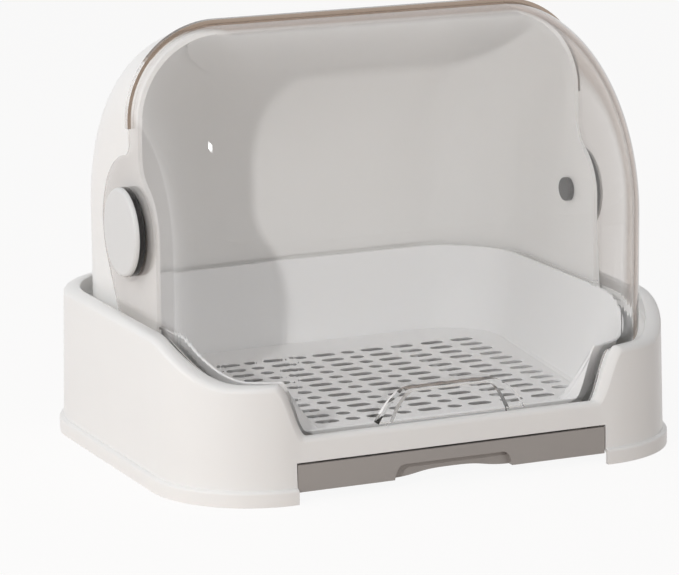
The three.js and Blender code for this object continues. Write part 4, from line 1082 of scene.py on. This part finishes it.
def drawer_box(front):
    half, rear, wall = DRAWER_HALF, DRAWER_REAR, DRAWER_WALL
    outer = rounded_box(-half, half, front, rear, DRAWER_CORNER)
    inner = rounded_box(-half + wall, half - wall, front + wall, rear - wall, DRAWER_CORNER - wall)
    box = prism("box", outer, "z", DRAWER_BOTTOM, DRAWER_TOP)
    return cut(box, prism("inside", inner, "z", DRAWER_BOTTOM + wall, DRAWER_TOP + OVERRUN))


def water_drawer():
    face_back, box_front = DRAWER_FRONT + FACE_THICK, DRAWER_FRONT + FACE_TO_BOX
    pull_back, pull_roof = DRAWER_FRONT + PULL_DEPTH + DRAWER_WALL, PULL_TOP + DRAWER_WALL
    face = (-FACE_HALF, FACE_HALF, DRAWER_FRONT, face_back, FACE_BOTTOM, FACE_TOP)
    drawer = block("water_drawer_moulding", *face)
    pocket = PULL_HALF + DRAWER_WALL
    join(drawer, block("pocket", -pocket, pocket, DRAWER_FRONT, pull_back, FACE_BOTTOM, pull_roof))
    join(drawer, drawer_box(box_front))
    cheek = DRAWER_HALF - DRAWER_CORNER
    y0, y1 = face_back - DRAWER_LAP, box_front + DRAWER_LAP
    rail_front, rail_rear = box_front + DRAWER_CORNER, DRAWER_REAR - DRAWER_CORNER
    for side in (-1, 1):
        x0, x1 = sorted((side * cheek, side * (cheek - DRAWER_WALL)))
        join(drawer, block("cheek", x0, x1, y0, y1, DRAWER_BOTTOM, DRAWER_TOP))
        x0, x1 = sorted((side * (DRAWER_HALF - DRAWER_LAP), side * (DRAWER_HALF + RAIL_REACH)))
        join(drawer, block("rail", x0, x1, rail_front, rail_rear, RAIL_LOW, RAIL_HIGH))
    join(drawer, block("roof", -cheek, cheek, y0, y1, DRAWER_TOP - DRAWER_WALL, DRAWER_TOP))
    recess = prism("recess", pull_outline(), "y", DRAWER_FRONT - OVERRUN, DRAWER_FRONT + PULL_DEPTH)
    arch = prism("arch", arch_outline(), "y", DRAWER_FRONT - OVERRUN, pull_back + GAP)
    return smooth(soften(cut(drawer, recess, arch), 0.5))


drawer = water_drawer()
dress(drawer, GREY_ABS)
seat(drawer, "drawer", "warm_grey_abs", "water_drawer")

# %% [markdown]
# ## The hinge
# On each side a black ring lies against the lid, a pale cap covers the ring's whole face, and a dark
# button-headed screw inside the hood holds them to the boss. All three are turned shapes, so a profile spun
# round the hinge line makes them, with the small roundings that catch a bright line.

# %% Rings, caps and screws
RING_BACK = LID_HALF + 2 * GAP
RING_RADIUS, RING_THICK, RING_RIM, RING_WEB = 25.3, 3.4, 1.9, 1.6
HUB_RADIUS, HUB_ROOF = 5.0, 0.6
CAP_THICK, CAP_ROUND, CAP_CROWN, CAP_SKIN, SPIGOT_WALL = 2.6, 2.4, 0.3, 1.6, 1.5
HUB_HEIGHT = RING_THICK + CAP_THICK - CAP_SKIN
SCREW_SHANK, SCREW_HEAD, SCREW_HEAD_HEIGHT, SCREW_ROUND = 1.6, 7.0, 3.4, 1.2


def rounded_corner(radius, out, size, faces, steps=6):
    """A quarter round at a turned piece's corner, which faces away from the rack (1) or towards it (-1)."""
    found = []
    for angle in quarter_turn(steps):
        found.append((radius - size * (1 - math.cos(angle)), out - faces * size * (1 - math.sin(angle))))
    return found


def pivot_ring():
    front, inner = RING_BACK + RING_THICK, RING_RADIUS - RING_RIM
    hub_front = RING_BACK + HUB_HEIGHT
    profile = [(SCREW_HOLE, RING_BACK)] + rounded_corner(RING_RADIUS, RING_BACK, 0.5, -1)[::-1]
    profile += rounded_corner(RING_RADIUS, front, 0.3, 1, 3)
    profile += [(inner, front), (inner, RING_BACK + RING_WEB), (HUB_RADIUS, RING_BACK + RING_WEB)]
    profile += [(HUB_RADIUS, hub_front), (0.0, hub_front), (0.0, hub_front - HUB_ROOF)]
    profile += [(SCREW_HOLE, hub_front - HUB_ROOF)]
    return profile


def pivot_cap():
    back = RING_BACK + RING_THICK + GAP
    front = back + CAP_THICK
    spigot, end = RING_RADIUS - RING_RIM - GAP, RING_BACK + RING_WEB + GAP
    profile = [(0.0, front - CAP_SKIN), (spigot - SPIGOT_WALL, front - CAP_SKIN), (spigot - SPIGOT_WALL, end)]
    profile += [(spigot, end), (spigot, back), (RING_RADIUS, back)]
    profile += rounded_corner(RING_RADIUS, front, CAP_ROUND, 1, 10)
    flat = RING_RADIUS - CAP_ROUND
    profile += [(flat * share, front + CAP_CROWN * (1 - share**2)) for share in (0.8, 0.6, 0.4, 0.2, 0.0)]
    return profile


def pivot_screw():
    head_front = HOOD_HALF - HOOD_WALL - GAP
    head_back = head_front - SCREW_HEAD_HEIGHT
    tip = RING_BACK + HUB_HEIGHT - HUB_ROOF - GAP
    profile = [(0.0, head_back)] + rounded_corner(SCREW_HEAD, head_back, SCREW_ROUND, -1)[::-1]
    profile += [(SCREW_HEAD, head_front), (SCREW_SHANK, head_front), (SCREW_SHANK, tip), (0.0, tip)]
    return profile


TURNED = (
    ("pivot_ring", pivot_ring, BLACK_ABS, "black_abs"),
    ("pivot_cap", pivot_cap, PALE_ABS, "pale_grey_abs"),
    ("pivot_screw", pivot_screw, DARK_STEEL, "dark_steel"),
)
for side, hand in ((-1, "left"), (1, "right")):
    for kind, profile, finish, slot_name in TURNED:
        piece = smooth(turned_on_pivot(kind + "_turned_" + hand, profile(), side, 96), 30.0)
        dress(piece, finish)
        seat(piece, "base", slot_name, kind + "_" + hand)

# %% [markdown]
# ## Small pieces that keep their shape
# The washers, runners, screws and pads have the right shape already. They keep their place and only get
# their finish.

# %% Finishes for the small pieces
SMALL = {"friction_washer": NYLON, "drawer_runner": NYLON, "runner_screw": STEEL, "foot_pad": PAD_RUBBER}
for name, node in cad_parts.items():
    for start, finish in SMALL.items():
        if name.startswith(start):
            dress(node, finish)
            node.data.shade_smooth()
            node.data.set_sharp_from_angle(angle=math.radians(40))
print("small pieces dressed")

# %% [markdown]
# ## Floor, light and camera
# A pale floor and a white surround stand in for the studio. The floor keeps a faint shadow of the rack, and
# glows for the rays that come straight from the camera, so that it meets the surround without a line.

# %% Floor
FLOOR_HALF, FLOOR_GLOW = 3.0, 0.92
WHITE = (1.0, 1.0, 1.0, 1.0)


def straight_rays(tree):
    """1 for rays from the camera, and for those that gloss or clear plastic send on."""
    path = add_node(tree, "ShaderNodeLightPath")
    kinds = [path.outputs[kind] for kind in ("Is Camera Ray", "Is Glossy Ray", "Is Transmission Ray")]
    first = add_node(tree, "ShaderNodeMath", links={0: kinds[0], 1: kinds[1]}, operation="MAXIMUM")
    both = add_node(tree, "ShaderNodeMath", links={0: first.outputs[0], 1: kinds[2]}, operation="MAXIMUM")
    return both.outputs[0]


def studio_floor():
    mesh = bpy.data.meshes.new("floor")
    corners = [(x * FLOOR_HALF, y * FLOOR_HALF, 0) for x, y in ((-1, -1), (1, -1), (1, 1), (-1, 1))]
    mesh.from_pydata(corners, [], [(0, 1, 2, 3)])
    floor = add_object("floor", mesh)
    material, tree = new_material("floor_pale")
    paint = add_node(tree, "ShaderNodeBsdfDiffuse", {"Color": linear("#E9DDD4")})
    glow = add_node(tree, "ShaderNodeEmission", {"Color": WHITE, "Strength": 1.0})
    share = add_node(
        tree, "ShaderNodeMath", {1: FLOOR_GLOW}, {0: straight_rays(tree)}, operation="MULTIPLY",
    )
    mixed = add_node(
        tree, "ShaderNodeMixShader",
        links={0: share.outputs[0], 1: paint.outputs["BSDF"], 2: glow.outputs["Emission"]},
    )
    add_node(tree, "ShaderNodeOutputMaterial", links={"Surface": mixed.outputs["Shader"]})
    dress(floor, material)


studio_floor()
print("floor ready")

# %% [markdown]
# A small key lamp stands low at the left, and throws the rack's side as a shadow on the hood's back wall.
# Wide soft lamps from the left, the front and above fill the rest. They light the pieces and aren't mirrored
# in the lid; only the spark is, as one small highlight.

# %% Surround and lamps
SURROUND_FILL = 0.29


def surround():
    world = bpy.data.worlds.new("surround")
    bpy.context.scene.world = world
    world.use_nodes = True
    tree = world.node_tree
    tree.nodes.clear()
    fill = add_node(tree, "ShaderNodeBackground", {"Color": (0.98, 0.98, 1.0, 1), "Strength": SURROUND_FILL})
    white = add_node(tree, "ShaderNodeBackground", {"Color": WHITE, "Strength": 1.0})
    mixed = add_node(
        tree, "ShaderNodeMixShader",
        links={0: straight_rays(tree), 1: fill.outputs["Background"], 2: white.outputs["Background"]},
    )
    add_node(tree, "ShaderNodeOutputWorld", links={"Surface": mixed.outputs["Shader"]})


# For each lamp: its place and aim and the length of its edge in metres, its power in watts, its colour,
# and whether gloss and clear plastic mirror it.
LAMPS = {
    "key": ((-1.20, -1.1, 0.74), (0.0, 0.0, 0.12), 0.045, 9.5, (1.0, 1.0, 1.0), False),
    "left": ((-1.6, 0.3, 0.9), (0.0, 0.0, 0.1), 1.2, 11.0, (0.97, 0.985, 1.0), False),
    "front": ((0.7, -1.9, 0.5), (0.0, 0.0, 0.1), 1.0, 3.4, (1.0, 0.97, 0.94), False),
    "top": ((0.1, -1.1, 1.7), (0.0, -0.02, 0.1), 0.5, 2.2, (1.0, 1.0, 1.0), False),
    "spark": ((-1.36, -0.21, 1.04), (-0.12, -0.08, 0.19), 0.1, 0.5, (1.0, 1.0, 1.0), True),
}


def lamp(name, place, aim, edge, power, colour, mirrored):
    data = bpy.data.lights.new(name, "AREA")
    data.shape, data.size, data.size_y = "RECTANGLE", edge, edge
    data.energy, data.color = power, colour
    light = add_object(name, data)
    light.visible_glossy = light.visible_transmission = mirrored
    light.location = place
    light.rotation_euler = (Vector(aim) - Vector(place)).to_track_quat("-Z", "Y").to_euler()


surround()
for name, settings in LAMPS.items():
    lamp(name, *settings)
print("lamps ready")

# %% [markdown]
# ### The camera
# The photograph was taken from the left of the front, slightly from above, with a long lens. The values
# come from fitting a pinhole camera to the edges of the base and the known overall sizes.

# %% Camera
PHOTO_WIDTH, PHOTO_HEIGHT = 679.0, 575.0
AZIMUTH, ELEVATION, ROLL = -24.55, 11.90, -0.46
DISTANCE = 2.249
FOCAL_PIXELS = 3896.0
CENTRE_PIXEL = (359.2, 247.8)
AIM = Vector((0.0, 0.0, 0.110))
SENSOR_MM = 36.0


def photo_camera():
    data = bpy.data.cameras.new("photo_camera")
    camera = add_object("photo_camera", data)
    data.sensor_width = SENSOR_MM
    data.lens = FOCAL_PIXELS / PHOTO_WIDTH * data.sensor_width
    data.shift_x = (PHOTO_WIDTH / 2 - CENTRE_PIXEL[0]) / PHOTO_WIDTH
    data.shift_y = (CENTRE_PIXEL[1] - PHOTO_HEIGHT / 2) / PHOTO_WIDTH
    data.clip_start, data.clip_end = 0.05, 50.0
    turn, tilt = math.radians(AZIMUTH), math.radians(ELEVATION)
    back = Vector((math.sin(turn) * math.cos(tilt), -math.cos(turn) * math.cos(tilt), math.sin(tilt)))
    camera.location = AIM + back * DISTANCE
    camera.rotation_mode = "QUATERNION"
    camera.rotation_quaternion = (-back).to_track_quat("-Z", "Y")
    camera.rotation_quaternion.rotate(Quaternion(back, math.radians(ROLL)))
    bpy.context.scene.camera = camera


photo_camera()
bpy.context.scene.view_settings.view_transform = "Standard"
print("camera ready")
